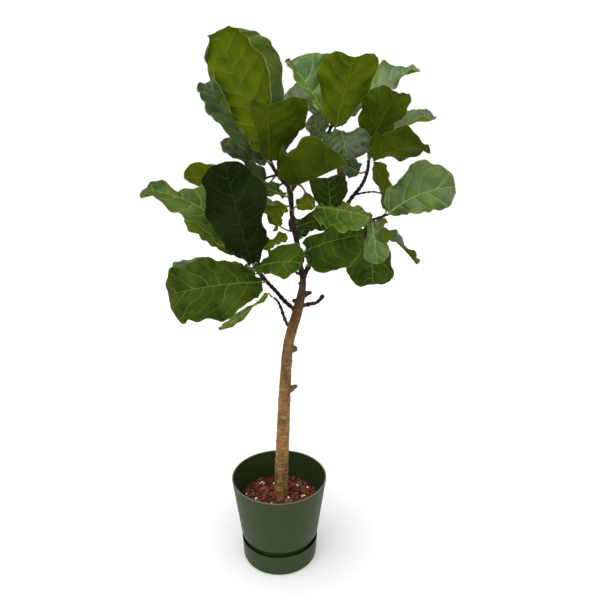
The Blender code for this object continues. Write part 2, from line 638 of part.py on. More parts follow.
def blade(leaf, along, across):
    """Points on the blade's middle surface, with the surface normal on its upper side.

    along runs from 0 at the stalk to 1 at the tip, across from -1 to 1 between the margins.
    """
    side = leaf_axes(leaf)[4]
    outline = spline(OUTLINES[leaf["outline"]], along)
    reach = np.abs(across)
    start = along**1.12
    place = start + (outline[..., 0] - start) * reach**1.3
    place = place + leaf["skew"] * across * outline[..., 1]
    width, fold, curl, roll = half_turn(leaf, across)
    which = np.where(across >= 0, 1.0, 0.0)
    scallop = np.sin(2 * np.pi * (1.3 * leaf["waves"] * along + 2.1 * leaf["phase"]) + 3.0 - 2.5 * which)
    half = outline[..., 1] * reach * width * (1 + leaf["lobes"] * reach**2 * scallop)
    small = 1e-3
    tangent = unit(midrib(leaf, place + small) - midrib(leaf, place - small))
    sideways = unit(side - tangent * (tangent @ side)[..., None])
    upward = np.cross(sideways, tangent)
    turn = np.radians(leaf["twist"]) * (place - 0.4)
    cosine, sine = np.cos(turn)[..., None], np.sin(turn)[..., None]
    sideways, upward = sideways * cosine + upward * sine, upward * cosine - sideways * sine
    opening = np.clip(along * 3, 0, 1) * 0.6 + 0.4
    roll = roll * np.clip(8 * (1 - along), 0, 1)
    out = np.zeros_like(half)
    rise = np.zeros_like(half)
    steps = 10
    for step in range(steps):
        slope = lean(reach * (step + 0.5) / steps, fold, curl, roll) * opening
        out += half * np.cos(slope) / steps
        rise += half * np.sin(slope) / steps
    swell = np.clip(np.sin(np.pi * np.clip(along, 0, 1) ** 0.85), 0, 1) ** 0.6
    wave = np.sin(2 * np.pi * (leaf["waves"] * along + leaf["phase"]) + 1.7 * (1 - which))
    rise = rise + leaf["ruffle"] * reach**2.2 * swell * wave
    sign = np.where(across >= 0, 1.0, -1.0)
    slope = lean(reach, fold, curl, roll) * opening
    normal = upward * np.cos(slope)[..., None] - sideways * (sign * np.sin(slope))[..., None]
    point = midrib(leaf, place) + sideways * (out * sign)[..., None] + upward * rise[..., None]
    return point, normal


def lean(reach, fold, curl, roll):
    """Angle of the surface above flat, growing towards the margin."""
    late = np.clip((reach - 0.66) / 0.16, 0, 1)
    return fold + 1.5 * curl * reach**1.5 + roll * late * late * (3 - 2 * late)


def stalk_start(leaf):
    """Where the stalk leaves the wood: a point just clear of its surface, and its direction."""
    run, share = leaf["grows_from"]
    here = spline(WOOD[run], np.array([share - 0.01, share, share + 0.01]))
    centre, radius = here[1, :3], float(here[1, 3])
    growth = unit(here[2, :3] - here[0, :3])
    out = np.array(leaf["base"]) - centre
    if share < 1.0:
        out = out - growth * (out @ growth)
    out = unit(out)
    return centre + out * (radius + GAP * 1.5), out


def stalk_path(leaf, shares):
    start, out = stalk_start(leaf)
    end = np.array(leaf["base"], dtype=float)
    direction = unit(midrib(leaf, np.array([0.01]))[0] - midrib(leaf, np.array([0.0]))[0])
    reach = float(np.linalg.norm(end - start)) / 3
    first, second = start + out * reach, end - direction * reach
    s = np.asarray(shares, dtype=float)[:, None]
    curve = start * (1 - s) ** 3 + 3 * first * s * (1 - s) ** 2
    curve = curve + 3 * second * s**2 * (1 - s) + end * s**3
    slope = 3 * (first - start) * (1 - s) ** 2 + 6 * (second - first) * s * (1 - s)
    slope = slope + 3 * (end - second) * s**2
    return curve, unit(slope)


def leaf_rings(leaf, stalk_rows, blade_rows, columns):
    """Closed rings of points along the stalk and the blade, upper side first, then the underside."""
    across = np.array(columns, dtype=float)
    rings = []
    side = leaf_axes(leaf)[4]
    round_half = np.sqrt(np.clip(1 - across**2, 0.02, 1)) * STALK_RADIUS
    curve, slope = stalk_path(leaf, stalk_rows)
    sideways = side
    for centre, tangent in zip(curve[::-1], slope[::-1]):
        sideways = unit(sideways - tangent * (sideways @ tangent))
        upward = np.cross(sideways, tangent)
        middle = centre + np.outer(across, sideways) * STALK_RADIUS
        top = middle + np.outer(round_half, upward)
        under = middle - np.outer(round_half, upward)
        rings.insert(0, np.vstack([top, under[::-1]]))
    rib = np.clip(1 - np.abs(across) / 0.25, 0, 1)
    for along in blade_rows:
        point, normal = blade(leaf, np.full_like(across, along), across)
        spread = point - point[len(across) // 2]
        need = STALK_RADIUS * (0.5 if along > 0.5 else 1.0)
        widest = float(np.max(np.linalg.norm(spread, axis=-1)))
        if widest < need:
            point = point[len(across) // 2] + np.outer(across, side) * need
            normal = np.repeat(normal[len(across) // 2][None], len(across), axis=0)
        taper = 1.0 - 0.6 * along
        thickness = MARGIN_THICKNESS + (RIB_THICKNESS * taper - MARGIN_THICKNESS) * rib
        if widest < need:
            thickness = np.maximum(2 * round_half * need / STALK_RADIUS, MARGIN_THICKNESS)
        top = point + normal * (0.4 * thickness)[:, None]
        under = point - normal * (0.6 * thickness)[:, None]
        rings.append(np.vstack([top, under[::-1]]))
    return rings


def make_leaf(name, leaf):
    """Both skins are cut into triangles along the same lines, or they would cross where the blade
    twists. The cuts run outwards and forwards, as the side veins do."""
    rolled = leaf["left"][3] or leaf["right"][3]
    columns = ROLLED_COLUMNS if rolled else BLADE_COLUMNS
    rings = leaf_rings(leaf, STALK_ROWS, BLADE_ROWS, columns)
    count = len(rings[0])
    middle = len(columns) // 2
    faces = [tuple(range((len(rings) - 1) * count, len(rings) * count))[::-1]]
    for ring in reversed(range(len(rings) - 1)):
        for k in range(count):
            here, there = ring * count, (ring + 1) * count
            after = (k + 1) % count
            right_top = middle <= k < len(columns)
            left_under = k >= count - 1 - middle
            if right_top or left_under:
                faces.append((here + k, here + after, there + after))
                faces.append((here + k, there + after, there + k))
            else:
                faces.append((here + k, here + after, there + k))
                faces.append((here + after, there + after, there + k))
    faces.append(tuple(range(count)))
    return face_out(add_object(name, np.vstack(rings), faces, LEAF_GREEN, 0.42))


def main():
    clear_scene()
    make_saucer()
    make_pot()
    make_soil()
    make_wood()
    for name, leaf in LEAVES.items():
        make_leaf(name, leaf)


main()
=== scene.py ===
"""Looks of the potted fiddle leaf fig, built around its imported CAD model. Metres, +Z up."""

import math

import bpy
import numpy as np
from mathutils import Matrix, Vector, kdtree, noise


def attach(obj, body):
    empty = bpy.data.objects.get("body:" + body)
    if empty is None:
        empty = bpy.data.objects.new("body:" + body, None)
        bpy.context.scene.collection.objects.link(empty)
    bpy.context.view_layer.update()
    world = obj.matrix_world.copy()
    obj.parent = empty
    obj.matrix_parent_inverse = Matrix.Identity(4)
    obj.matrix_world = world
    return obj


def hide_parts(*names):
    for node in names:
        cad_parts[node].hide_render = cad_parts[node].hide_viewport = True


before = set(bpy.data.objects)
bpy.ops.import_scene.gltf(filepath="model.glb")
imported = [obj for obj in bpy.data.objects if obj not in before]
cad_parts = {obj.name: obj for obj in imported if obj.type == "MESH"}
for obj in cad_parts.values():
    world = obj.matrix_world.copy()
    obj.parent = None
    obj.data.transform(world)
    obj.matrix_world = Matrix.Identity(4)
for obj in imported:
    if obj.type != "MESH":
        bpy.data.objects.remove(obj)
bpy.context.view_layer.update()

BODY = "root"
GAP = 0.0003  # left between solids that touch in the real plant

# Pot, saucer and soil, as the CAD has them.
POT_HEIGHT = 0.278
POT_RIM_RADIUS = 0.1475
POT_SHOULDER_RADIUS = 0.121
POT_SHOULDER_HEIGHT = 0.088
POT_FOOT_RADIUS = 0.109
POT_WALL = 0.003
POT_LIP = 0.0045
SAUCER_HEIGHT = 0.068
SAUCER_RIM_RADIUS = 0.1205
SAUCER_BASE_RADIUS = 0.1165
SAUCER_WALL = 0.003
SAUCER_FLOOR = 0.005
SAUCER_EDGE_ROUND = 0.008
SOIL_EDGE_HEIGHT = 0.192
SOIL_CROWN_HEIGHT = 0.200
TRUNK_FOOT = (0.005, 0.020)
TRUNK_FOOT_RADIUS = 0.0225
TURNED_SIDES = 220
STALK_RADIUS = 0.0022

# Leaves: how fine their meshes are, their skins, and the blade's swell between side veins.
LEAF_STEP = 0.0028
STALK_SHARES = np.linspace(0, 0.98, 14)
BLADE_THICKNESS = 0.0008
RIB_RISE = 0.0026
VEIN_SPACING = 0.041
DOME_RISE = 0.0042
FRILLS = ((3.3, 0.085, 0.034), (6.3, 0.060, 0.030), (11.3, 0.022, 0.015))  # pace, rise, spread

# Wood: how fine its tubes and its skin are, and the knuckles of the limbs.
LIMB_SIDES = 20
LIMB_STEP = 0.003
BARK_STEP = 0.0017
NODE_SPACING = 0.015
NODE_SWELLING = 0.45

# Wood: each run is (x, y, z, radius) from its start to its end. The trunk comes first, and every
# other run starts inside the one that it grows from.
WOOD = {
    "trunk": [
        (0.005, 0.02, 0.12, 0.0225), (0.005, 0.02, 0.16, 0.0225), (0.005, 0.02, 0.205, 0.0225),
        (0.007, 0.018, 0.3, 0.021), (0.012, 0.014, 0.4, 0.0202), (0.018, 0.007, 0.54, 0.018),
        (0.028, 0, 0.69, 0.0158), (0.04, -0.002, 0.755, 0.0152), (0.058, 0, 0.817, 0.0145),
        (0.07, 0, 0.874, 0.011), (0.073, 0, 0.912, 0.009), (0.066, 0, 0.952, 0.0078),
        (0.058, 0, 1.009, 0.0075), (0.048, 0, 1.057, 0.007), (0.042, 0, 1.106, 0.0068),
        (0.038, 0, 1.16, 0.0066), (0.014, 0, 1.19, 0.0058), (-0.007, 0, 1.219, 0.0052),
        (-0.017, 0, 1.252, 0.0048), (-0.024, 0, 1.295, 0.0044), (-0.032, 0, 1.335, 0.0036),
    ],
    "crown_middle": [
        (0.037, 0, 1.152, 0.005), (0.056, 0.015, 1.178, 0.0055), (0.08, 0.034, 1.203, 0.0052),
        (0.106, 0.05, 1.236, 0.005), (0.133, 0.052, 1.289, 0.0046), (0.154, 0.052, 1.336, 0.0044),
        (0.162, 0.055, 1.375, 0.0034),
    ],
    "right": [
        (0.073, 0, 0.9, 0.006), (0.084, 0.012, 0.935, 0.0068), (0.128, 0.042, 0.997, 0.0062),
        (0.173, 0.058, 1.07, 0.0056), (0.206, 0.06, 1.126, 0.0052), (0.238, 0.06, 1.168, 0.0048),
        (0.252, 0.06, 1.205, 0.0044), (0.256, 0.058, 1.245, 0.0042), (0.262, 0.056, 1.28, 0.0034),
    ],
    "right_lower": [
        (0.155, 0.052, 1.038, 0.004), (0.19, 0.046, 1.048, 0.0044), (0.237, 0.022, 1.065, 0.0042),
        (0.27, 0.006, 1.08, 0.004), (0.304, 0, 1.093, 0.0034),
    ],
    "right_spur": [
        (0.216, 0.06, 1.14, 0.003), (0.24, 0.04, 1.148, 0.0028), (0.268, 0.028, 1.152, 0.0024),
        (0.296, 0.022, 1.147, 0.002),
    ],
    "low_left": [
        (0.048, 0, 0.822, 0.0056), (0.019, -0.002, 0.85, 0.0056), (-0.003, -0.004, 0.877, 0.0052),
        (-0.024, -0.004, 0.9, 0.0052), (-0.046, -0.003, 0.925, 0.0048), (-0.064, 0, 0.955, 0.0044),
        (-0.068, 0.002, 0.985, 0.0032),
    ],
    "low_twig": [
        (0.036, -0.003, 0.764, 0.0044), (0.022, -0.014, 0.796, 0.0044),
        (0.011, -0.024, 0.835, 0.004), (0.001, -0.031, 0.858, 0.0032),
        (-0.01, -0.036, 0.868, 0.0028),
    ],
    "cut_stub_right": [
        (0.064, 0, 0.83, 0.0054), (0.092, 0, 0.838, 0.0054), (0.11, -0.002, 0.842, 0.0046),
        (0.122, -0.003, 0.852, 0.0048), (0.129, -0.004, 0.861, 0.006),
    ],
    "cut_stub_front": [
        (0.069, 0, 0.925, 0.0044), (0.058, -0.014, 0.932, 0.004), (0.05, -0.022, 0.941, 0.0036),
    ],
    "short_spur_left": [
        (0.006, 0, 1.2, 0.0034), (-0.014, -0.01, 1.196, 0.003), (-0.03, -0.014, 1.19, 0.0026),
    ],
}

# Half outlines of a blade: (place along it, half width), as shares of its length and width.
OUTLINES = {
    "round": [
        (0, 0), (-0.02, 0.18), (0.01, 0.42), (0.09, 0.64), (0.2, 0.8), (0.35, 0.91), (0.5, 0.98),
        (0.64, 1), (0.78, 0.95), (0.9, 0.74), (0.98, 0.4), (1, 0),
    ],
    "notched": [
        (0, 0), (0, 0.14), (0.05, 0.34), (0.14, 0.5), (0.27, 0.64), (0.42, 0.78), (0.58, 0.92),
        (0.76, 1), (0.93, 0.94), (1.035, 0.66), (1.02, 0.3), (1, 0),
    ],
    "broad": [
        (0, 0), (0, 0.14), (0.05, 0.34), (0.13, 0.54), (0.24, 0.7), (0.37, 0.83), (0.51, 0.94),
        (0.65, 1), (0.79, 0.97), (0.91, 0.76), (0.985, 0.4), (1, 0),
    ],
    "fiddle": [
        (0, 0), (-0.01, 0.14), (0.03, 0.3), (0.12, 0.42), (0.24, 0.48), (0.36, 0.6), (0.5, 0.8),
        (0.64, 0.97), (0.78, 1), (0.9, 0.8), (0.975, 0.42), (1, 0),
    ],
    "slim": [
        (0, 0), (0.01, 0.14), (0.05, 0.34), (0.13, 0.54), (0.25, 0.7), (0.38, 0.82), (0.52, 0.93),
        (0.65, 1), (0.78, 0.93), (0.89, 0.68), (0.965, 0.34), (1, 0),
    ],
    "long": [
        (0, 0), (0.02, 0.16), (0.08, 0.4), (0.18, 0.66), (0.3, 0.88), (0.43, 1), (0.56, 0.95),
        (0.68, 0.74), (0.8, 0.58), (0.91, 0.54), (0.98, 0.34), (1, 0),
    ],
}


USUAL_FOLD_CURL_ROLL = (10, 12, 0)


def half_blade(values):
    """Width, fold, curl and rolled margin of a half. What isn't given is as usual."""
    values = values if isinstance(values, tuple) else (values,)
    return values + USUAL_FOLD_CURL_ROLL[len(values) - 1 :]


def leaf(run, share, base, tip, upper, left, right, outline, light, yellow, shine, **shape):
    """One leaf: the run of wood and the share along it where it grows, the two ends of its blade,
    the way its upper side faces, its halves (metres, then degrees) and its outline. Then how light
    it is, which is partly its own tone and partly painted light and shade: leaves in shade are made
    darker, and leaves in light or sheen lighter. Then how yellow it is, and how its upper side
    shines."""
    made = {"arch": 0.08, "sway": 0.0, "skew": 0.0, "twist": 0.0, "ruffle": 0.008, "lobes": 0.05}
    made.update({"waves": 2.5, "grows_from": (run, share), "base": base, "tip": tip})
    made.update({"upper": upper, "outline": outline})
    made.update({"left": half_blade(left), "right": half_blade(right)})
    return {**made, "tone_and_painted_light": (light, yellow), "shine": shine, **shape}


# Every leaf, by its node's name without the first word.
# In each row, how light a leaf is holds painted light and shade as well as the leaf's own tone.
LEAVES = {
    "top_left_tall": leaf("trunk", 0.9, (-0.025, -0.02, 1.26), (-0.135, -0.05, 1.545),
        (0.15, 1, 0.05), (0.168, -5, 0, -165), (0.088, -5, 0, -160), "broad", 0.62, 0.5, "satin",
        arch=0.005, ruffle=0.006),
    "upper_left_rear": leaf("trunk", 0.86, (-0.025, 0.03, 1.235), (-0.185, 0.06, 1.435),
        (0.2, -1, 0.3), (0.08, 40, 5), (0.066, 8, 8), "round", 0.6, 0.1, "glossy", arch=0.06,
        ruffle=0.01),
    "upper_left_front": leaf("trunk", 0.87, (-0.015, -0.03, 1.24), (-0.01, -0.17, 1.37),
        (0.05, 0.8, 0.75), (0.1, 8, 10), (0.045, 15, -5), "notched", 0.22, 0.45, "satin",
        ruffle=0.006, lobes=0.03),
    "top_centre_rear": leaf("crown_middle", 0.86, (0.14, 0.07, 1.345), (0.04, 0.1, 1.495),
        (0.1, -1, 0.3), (0.045, 45, 10), (0.092, 5, 15), "broad", 1.9, 0, "glossy", arch=0.05,
        skew=-0.07, ruffle=0.009),
    "top_centre_left": leaf("crown_middle", 0.78, (0.135, 0.09, 1.345), (0.02, 0.17, 1.41),
        (0.1, -1, 0.6), 0.04, 0.055, "fiddle", 0.9, 0.1, "glossy"),
    "top_centre_front": leaf("crown_middle", 0.7, (0.16, 0.015, 1.325), (0.2, -0.02, 1.49),
        (0, 1, 0.15), (0.07, 8, 10), (0.078, 8, 10), "notched", 0.5, 0.45, "satin", phase=0.1,
        arch=0.05, skew=-0.07, ruffle=0.007),
    "top_right_ruffled": leaf("crown_middle", 0.8, (0.175, 0.06, 1.33), (0.39, 0.12, 1.475),
        (-0.35, -0.35, 1), (0.058, 20, 10), (0.05, 10, 0), "fiddle", 1.2, 0.15, "glossy", arch=0.09,
        ruffle=0.014, waves=3.5),
    "upper_right_tall": leaf("right", 0.85, (0.25, 0.02, 1.265), (0.305, -0.06, 1.405),
        (-0.1, 1, 0.3), (0.06, 10, 15), (0.066, 10, 15), "broad", 0.2, 0.3, "satin", ruffle=0.009),
    "upper_right_front": leaf("right", 0.92, (0.26, 0.02, 1.245), (0.375, -0.1, 1.28),
        (0.1, 0.8, 0.8), (0.062, 10, 10), (0.065, 5, 10), "round", 0.1, 0.4, "satin", arch=0.05,
        ruffle=0.012),
    "upper_right_outer": leaf("right", 1, (0.27, 0.09, 1.295), (0.445, 0.13, 1.35), (-0.2, -0.5, 1),
        (0.065, 5, 10), (0.05, 10, 30), "fiddle", 0.9, 0.2, "glossy", arch=0.04),
    "upper_centre_drooping": leaf("crown_middle", 0.74, (0.175, 0.015, 1.31), (0.185, -0.035, 1.24),
        (0.05, -0.9, 0.6), (0.07, 5, 20), (0.065, 5, 20), "round", 0.25, 0.2, "glossy", arch=0.12,
        ruffle=0.01),
    "middle_folded": leaf("trunk", 0.75, (0.045, -0.035, 1.175), (0.175, -0.19, 1.24),
        (-0.15, 0.9, 0.25), (0.055, 85, 0), (0.108, 0, 5), "round", 0.05, 0.4, "satin", arch=-0.03,
        ruffle=0.022, lobes=0.09, waves=2.2),
    "inner_upright": leaf("trunk", 0.715, (0.03, 0.04, 1.17), (0.04, 0.065, 1.255), (0, 1, 0), 0.04,
        0.04, "slim", 0.25, 0.4, "satin"),
    "upper_centre_small": leaf("crown_middle", 0.66, (0.13, 0.03, 1.295), (0.085, 0, 1.34),
        (0, -1, 0.5), 0.036, 0.036, "broad", 0.3, 0.2, "glossy"),
    "upper_left_low": leaf("trunk", 0.82, (-0.035, 0.045, 1.175), (-0.15, 0.06, 1.285),
        (0.4, -0.8, 0.7), (0.036, 20, 10), (0.04, 30, 20), "fiddle", 0.55, 0.5, "glossy",
        ruffle=0.01),
    "left_front_upright": leaf("low_left", 0.84, (-0.065, -0.05, 0.97), (-0.12, -0.12, 1.24),
        (-0.1, -1, 0.15), (0.075, 10, 10), (0.085, 10, 10), "broad", -0.36, 0.1, "matt", arch=0.06,
        ruffle=0.015, lobes=0.1),
    "left_long": leaf("low_left", 0.93, (-0.08, -0.015, 0.985), (-0.36, 0, 1.16), (0.15, -0.5, 0.9),
        (0.075, 5, 0), (0.055, 10, 10), "long", 0.8, 0.6, "satin", arch=0.17, ruffle=0.017,
        lobes=0.12, waves=3.5),
    "left_long_lower": leaf("low_left", 0.9, (-0.075, 0.03, 0.97), (-0.26, 0.03, 1.075),
        (0.3, 0.8, 0.6), (0.04, 10, 10), (0.06, 10, 10), "slim", 0.5, 0.5, "satin", arch=-0.03),
    "left_rear": leaf("trunk", 0.785, (-0.045, 0.1, 1.15), (-0.275, 0.14, 1.185), (-0.1, 1, 0.35),
        0.045, 0.035, "broad", 0.7, 0.9, "satin"),
    "left_small_inner": leaf("low_left", 1, (-0.045, 0.035, 0.99), (0.03, 0.07, 1.02),
        (-0.1, 0.8, 0.5), 0.035, 0.018, "broad", 0.6, 0.8, "satin"),
    "lower_centre_front": leaf("low_left", 0.76, (-0.055, -0.05, 0.955), (0.075, -0.16, 0.995),
        (0, -1, 0.9), (0.055, 5, 10), (0.055, 5, 10), "fiddle", 0.4, 0.6, "matt", ruffle=0.01,
        lobes=0.08),
    "lower_left_front": leaf("low_left", 0.56, (-0.04, -0.05, 0.915), (-0.28, -0.125, 0.9),
        (-0.1, -1, 0.75), (0.115, 8, 15), (0.078, 8, 10), "broad", 0.3, 0.5, "matt", ruffle=0.012),
    "lower_left_rear": leaf("low_left", 0.7, (-0.08, 0.03, 0.925), (-0.305, 0.06, 0.945),
        (0, -0.05, 1), (0.06, -10, -10), (0.05, -4, 0), "fiddle", 0.4, 0.2, "glossy", arch=0.07),
    "lowest_left": leaf("low_twig", 1, (-0.025, -0.04, 0.88), (-0.155, -0.1, 0.795),
        (-0.5, -0.2, 0.85), (0.03, 0, 0), (0.03, 0, 0), "fiddle", 3.2, 0.9, "satin", arch=-0.03,
        ruffle=0.005),
    "centre_front_broad": leaf("trunk", 0.59, (0.075, -0.03, 0.995), (0.225, -0.15, 1.065),
        (0.1, -1, 0.5), (0.04, 10, 20), (0.085, 5, 10), "broad", 0.42, 0.45, "matt", arch=0.1,
        ruffle=0.012, lobes=0.08),
    "centre_front_right": leaf("crown_middle", 0.15, (0.11, -0.09, 1.125), (0.24, -0.18, 1.11),
        (0, -0.6, 0.85), (0.02, 15, 10), (0.085, 0, 10), "broad", 0.95, 0.5, "satin", arch=0.03),
    "right_narrow_upright": leaf("right_lower", 0.93, (0.305, 0.03, 1.1), (0.27, 0.075, 1.23),
        (0.75, 0.55, 0), 0.032, 0.034, "slim", 0.6, 0.7, "satin"),
    "right_broad": leaf("right_lower", 1, (0.305, -0.02, 1.1), (0.465, -0.07, 1.175),
        (-0.1, -1, 0.35), (0.076, 6, 10), (0.058, 6, 15), "broad", 1.15, 0.3, "glossy", arch=0.04,
        sway=-0.08, skew=0.045, ruffle=0.012, lobes=0.07),
    "right_hanging_front": leaf("right_lower", 0.7, (0.26, -0.02, 1.075), (0.27, -0.09, 0.975),
        (-0.1, -1, 0.3), (0.035, 10, 10), (0.035, 10, 10), "fiddle", 1, 0.1, "glossy"),
    "right_hanging_rear": leaf("right_lower", 0.66, (0.26, 0.02, 1.06), (0.275, 0.02, 0.89),
        (-0.1, -1, 0), (0.058, 5, 10), (0.072, 5, 10), "broad", 0.3, 0.3, "matt", ruffle=0.011),
    "right_hanging_small": leaf("right_lower", 0.8, (0.28, -0.02, 1.055), (0.305, -0.035, 1.025),
        (0, 1, 0), 0.018, 0.018, "slim", 0.55, 0.6, "satin"),
    "right_hanging_twisted": leaf("right_lower", 0.84, (0.285, 0.02, 1.055), (0.4, 0.04, 0.945),
        (0.8, -0.3, 0.5), (0.04, 20, 0), (0.04, 20, 0), "fiddle", 0.45, 0.2, "glossy", arch=0.04,
        twist=60),
    "centre_right_upright": leaf("right", 0.34, (0.15, 0, 1.1), (0.14, 0.02, 1.19), (0, -1, 0.3),
        0.055, 0.055, "notched", 0.1, 0.3, "matt"),
    "inner_right_small": leaf("trunk", 0.69, (0.055, -0.035, 1.12), (0.105, -0.03, 1.135),
        (0, 1, 0.1), 0.025, 0.025, "slim", 0.5, 0.7, "satin"),
    "inner_left_narrow": leaf("trunk", 0.735, (0.025, -0.02, 1.145), (-0.04, -0.035, 1.17),
        (0, -0.7, 0.7), 0.024, 0.024, "slim", 0.45, 0.6, "satin"),
    "inner_left_drooping": leaf("trunk", 0.7, (0.03, -0.045, 1.12), (0, -0.08, 1.075), (0, 1, 1),
        0.048, 0.048, "broad", 0.45, 0.6, "satin"),
    "upper_right_inner": leaf("right", 0.74, (0.232, 0.085, 1.2), (0.175, 0.095, 1.225),
        (0.1, -1, 0.4), 0.04, 0.04, "slim", 0.4, 0.2, "glossy"),
    "back_upper_left": leaf("trunk", 0.95, (0.035, 0.085, 1.31), (0.04, 0.27, 1.37), (0, 0, 1),
        0.06, 0.06, "broad", 0.5, 0.2, "satin"),
    "back_upper_centre": leaf("crown_middle", 0.5, (0.12, 0.09, 1.235), (0.13, 0.29, 1.24),
        (0, 0, 1), 0.06, 0.06, "fiddle", 0.45, 0.3, "satin"),
    "back_centre": leaf("trunk", 0.62, (0.065, 0.04, 1.02), (0.1, 0.25, 1.03), (0, 0.2, 1), 0.055,
        0.06, "broad", 0.35, 0.3, "matt"),
    "back_left": leaf("trunk", 0.64, (0, 0.06, 1.06), (-0.09, 0.25, 1.085), (0, 0, 1), 0.07, 0.06,
        "fiddle", 0.5, 0.4, "satin"),
    "back_upper_right": leaf("right", 0.96, (0.28, 0.09, 1.28), (0.33, 0.27, 1.3), (0, 0.2, 1),
        0.055, 0.055, "broad", 0.6, 0.3, "satin"),
    "back_right": leaf("right_lower", 0.5, (0.25, 0.05, 1.05), (0.3, 0.2, 1.02), (0, 0.3, 1), 0.05,
        0.045, "broad", 0.45, 0.4, "satin"),
    "back_lower_left": leaf("low_left", 0.5, (-0.05, 0.05, 0.92), (-0.14, 0.21, 0.87), (0, 0.3, 1),
        0.06, 0.055, "fiddle", 0.5, 0.5, "satin"),
    "inner_centre": leaf("trunk", 0.65, (0.06, 0.04, 1.055), (0.155, 0.12, 1.07), (0, -1, 0.3),
        0.045, 0.045, "fiddle", 0.25, 0.3, "matt"),
}

# The waves of each leaf start elsewhere than those of the leaf before it.
for number, made_leaf in enumerate(LEAVES.values(), 1):
    made_leaf.setdefault("phase", round(number * 0.37 % 1, 2))


# ---------------------------------------------------------------- shapes shared with the CAD


def spline(points, at):
    """Catmull-Rom curve through the points, for shares from 0 to 1 of their count."""
    points = np.asarray(points, dtype=float)
    last = len(points) - 1
    place = np.clip(np.asarray(at, dtype=float), 0.0, 1.0) * last
    index = np.minimum(place.astype(int), last - 1)
    share = (place - index)[..., None]
    padded = np.vstack([2 * points[0] - points[1], points, 2 * points[-1] - points[-2]])
    a, b, c, d = (padded[index + k] for k in range(4))
    cubic = (3 * b - 3 * c + d - a) * share**3
    square = (2 * a - 5 * b + 4 * c - d) * share**2
    return 0.5 * (2 * b + (c - a) * share + square + cubic)


def unit(vectors):
    return vectors / np.maximum(np.linalg.norm(vectors, axis=-1, keepdims=True), 1e-12)


def lean(reach, fold, curl, roll):
    """Angle of the blade above flat, growing towards the margin."""
    late = np.clip((reach - 0.66) / 0.16, 0, 1)
    return fold + 1.5 * curl * reach**1.5 + roll * late * late * (3 - 2 * late)


def half_turn(leaf, across):
    """Width, fold, curl and roll of the half that each place lies on."""
    left, right = (np.array(leaf[half], dtype=float) for half in ("left", "right"))
    values = np.where((across >= 0)[..., None], right, left)
    return (values[..., 0], *(np.radians(values[..., k]) for k in (1, 2, 3)))


def leaf_axes(leaf):
    base = np.array(leaf["base"], dtype=float)
    chord = np.array(leaf["tip"], dtype=float) - base
    length = float(np.linalg.norm(chord))
    axis = chord / length
    upper = np.array(leaf["upper"], dtype=float)
    upper = unit(upper - axis * (upper @ axis))
    return base, length, axis, upper, np.cross(axis, upper)


def midrib(leaf, along):
    base, length, axis, upper, side = leaf_axes(leaf)
    bow = 4 * along * (1 - along) * length
    point = base + axis * (along * length)[..., None]
    return point + upper * (leaf["arch"] * bow)[..., None] + side * (leaf["sway"] * bow)[..., None]


def blade(leaf, along, across):
    """The blade's middle surface: points, normals on the upper side, and the place of each point
    along the midrib and away from it, in metres."""
    _, length, _, _, side = leaf_axes(leaf)
    outline = spline(OUTLINES[leaf["outline"]], along)
    reach = np.abs(across)
    start = along**1.12
    place = start + (outline[..., 0] - start) * reach**1.3
    place = place + leaf["skew"] * across * outline[..., 1]
    width, fold, curl, roll = half_turn(leaf, across)
    which = np.where(across >= 0, 1.0, 0.0)

    def swing(pace, late, shift):
        return np.sin(2 * np.pi * (pace * leaf["waves"] * along + late * leaf["phase"]) + shift)

    lobes = leaf["lobes"] * swing(1.3, 2.1, 3.0 - 2.5 * which)
    lobes = lobes + 0.016 * swing(3.7, 5.3, 1.1 * which)
    half = outline[..., 1] * reach * width * (1 + lobes * reach**2)
    small = 1e-3
    tangent = unit(midrib(leaf, place + small) - midrib(leaf, place - small))
    sideways = unit(side - tangent * (tangent @ side)[..., None])
    upward = np.cross(sideways, tangent)
    turn = np.radians(leaf["twist"]) * (place - 0.4)
    cosine, sine = np.cos(turn)[..., None], np.sin(turn)[..., None]
    sideways, upward = sideways * cosine + upward * sine, upward * cosine - sideways * sine
    opening = np.clip(along * 3, 0, 1) * 0.6 + 0.4
    roll = roll * np.clip(8 * (1 - along), 0, 1)
    out = np.zeros_like(half)
    rise = np.zeros_like(half)
    steps = 14
    for step in range(steps):
        slope = lean(reach * (step + 0.5) / steps, fold, curl, roll) * opening
        out += half * np.cos(slope) / steps
        rise += half * np.sin(slope) / steps
    swell = np.clip(np.sin(np.pi * np.clip(along, 0, 1) ** 0.85), 0, 1) ** 0.6
    wave, frill = swing(1.0, 1.0, 1.7 * (1 - which)), swing(2.6, 3.1, 2.3 * which)
    rise = rise + leaf["ruffle"] * swell * (reach**2.2 * wave + 0.32 * reach**4 * frill)
    sign = np.where(across >= 0, 1.0, -1.0)
    slope = lean(reach, fold, curl, roll) * opening
    normal = upward * np.cos(slope)[..., None] - sideways * (sign * np.sin(slope))[..., None]
    point = midrib(leaf, place) + sideways * (out * sign)[..., None] + upward * rise[..., None]
    return point, normal, place * length, half * sign


def stalk_start(leaf):
    run, share = leaf["grows_from"]
    here = spline(WOOD[run], np.array([share - 0.01, share, share + 0.01]))
    centre, radius = here[1, :3], float(here[1, 3])
    growth = unit(here[2, :3] - here[0, :3])
    out = np.array(leaf["base"]) - centre
    if share < 1.0:
        out = out - growth * (out @ growth)
    out = unit(out)
    return centre + out * (radius + GAP * 1.5), out


def stalk_path(leaf, shares):
    start, out = stalk_start(leaf)
    end = np.array(leaf["base"], dtype=float)
    direction = unit(midrib(leaf, np.array([0.01]))[0] - midrib(leaf, np.array([0.0]))[0])
    reach = float(np.linalg.norm(end - start)) / 3
    first, second = start + out * reach, end - direction * reach
    s = np.asarray(shares, dtype=float)[:, None]
    curve = start * (1 - s) ** 3 + 3 * first * s * (1 - s) ** 2
    curve = curve + 3 * second * s**2 * (1 - s) + end * s**3
    slope = 3 * (first - start) * (1 - s) ** 2 + 6 * (second - first) * s * (1 - s)
    slope = slope + 3 * (end - second) * s**2
    return curve, unit(slope)


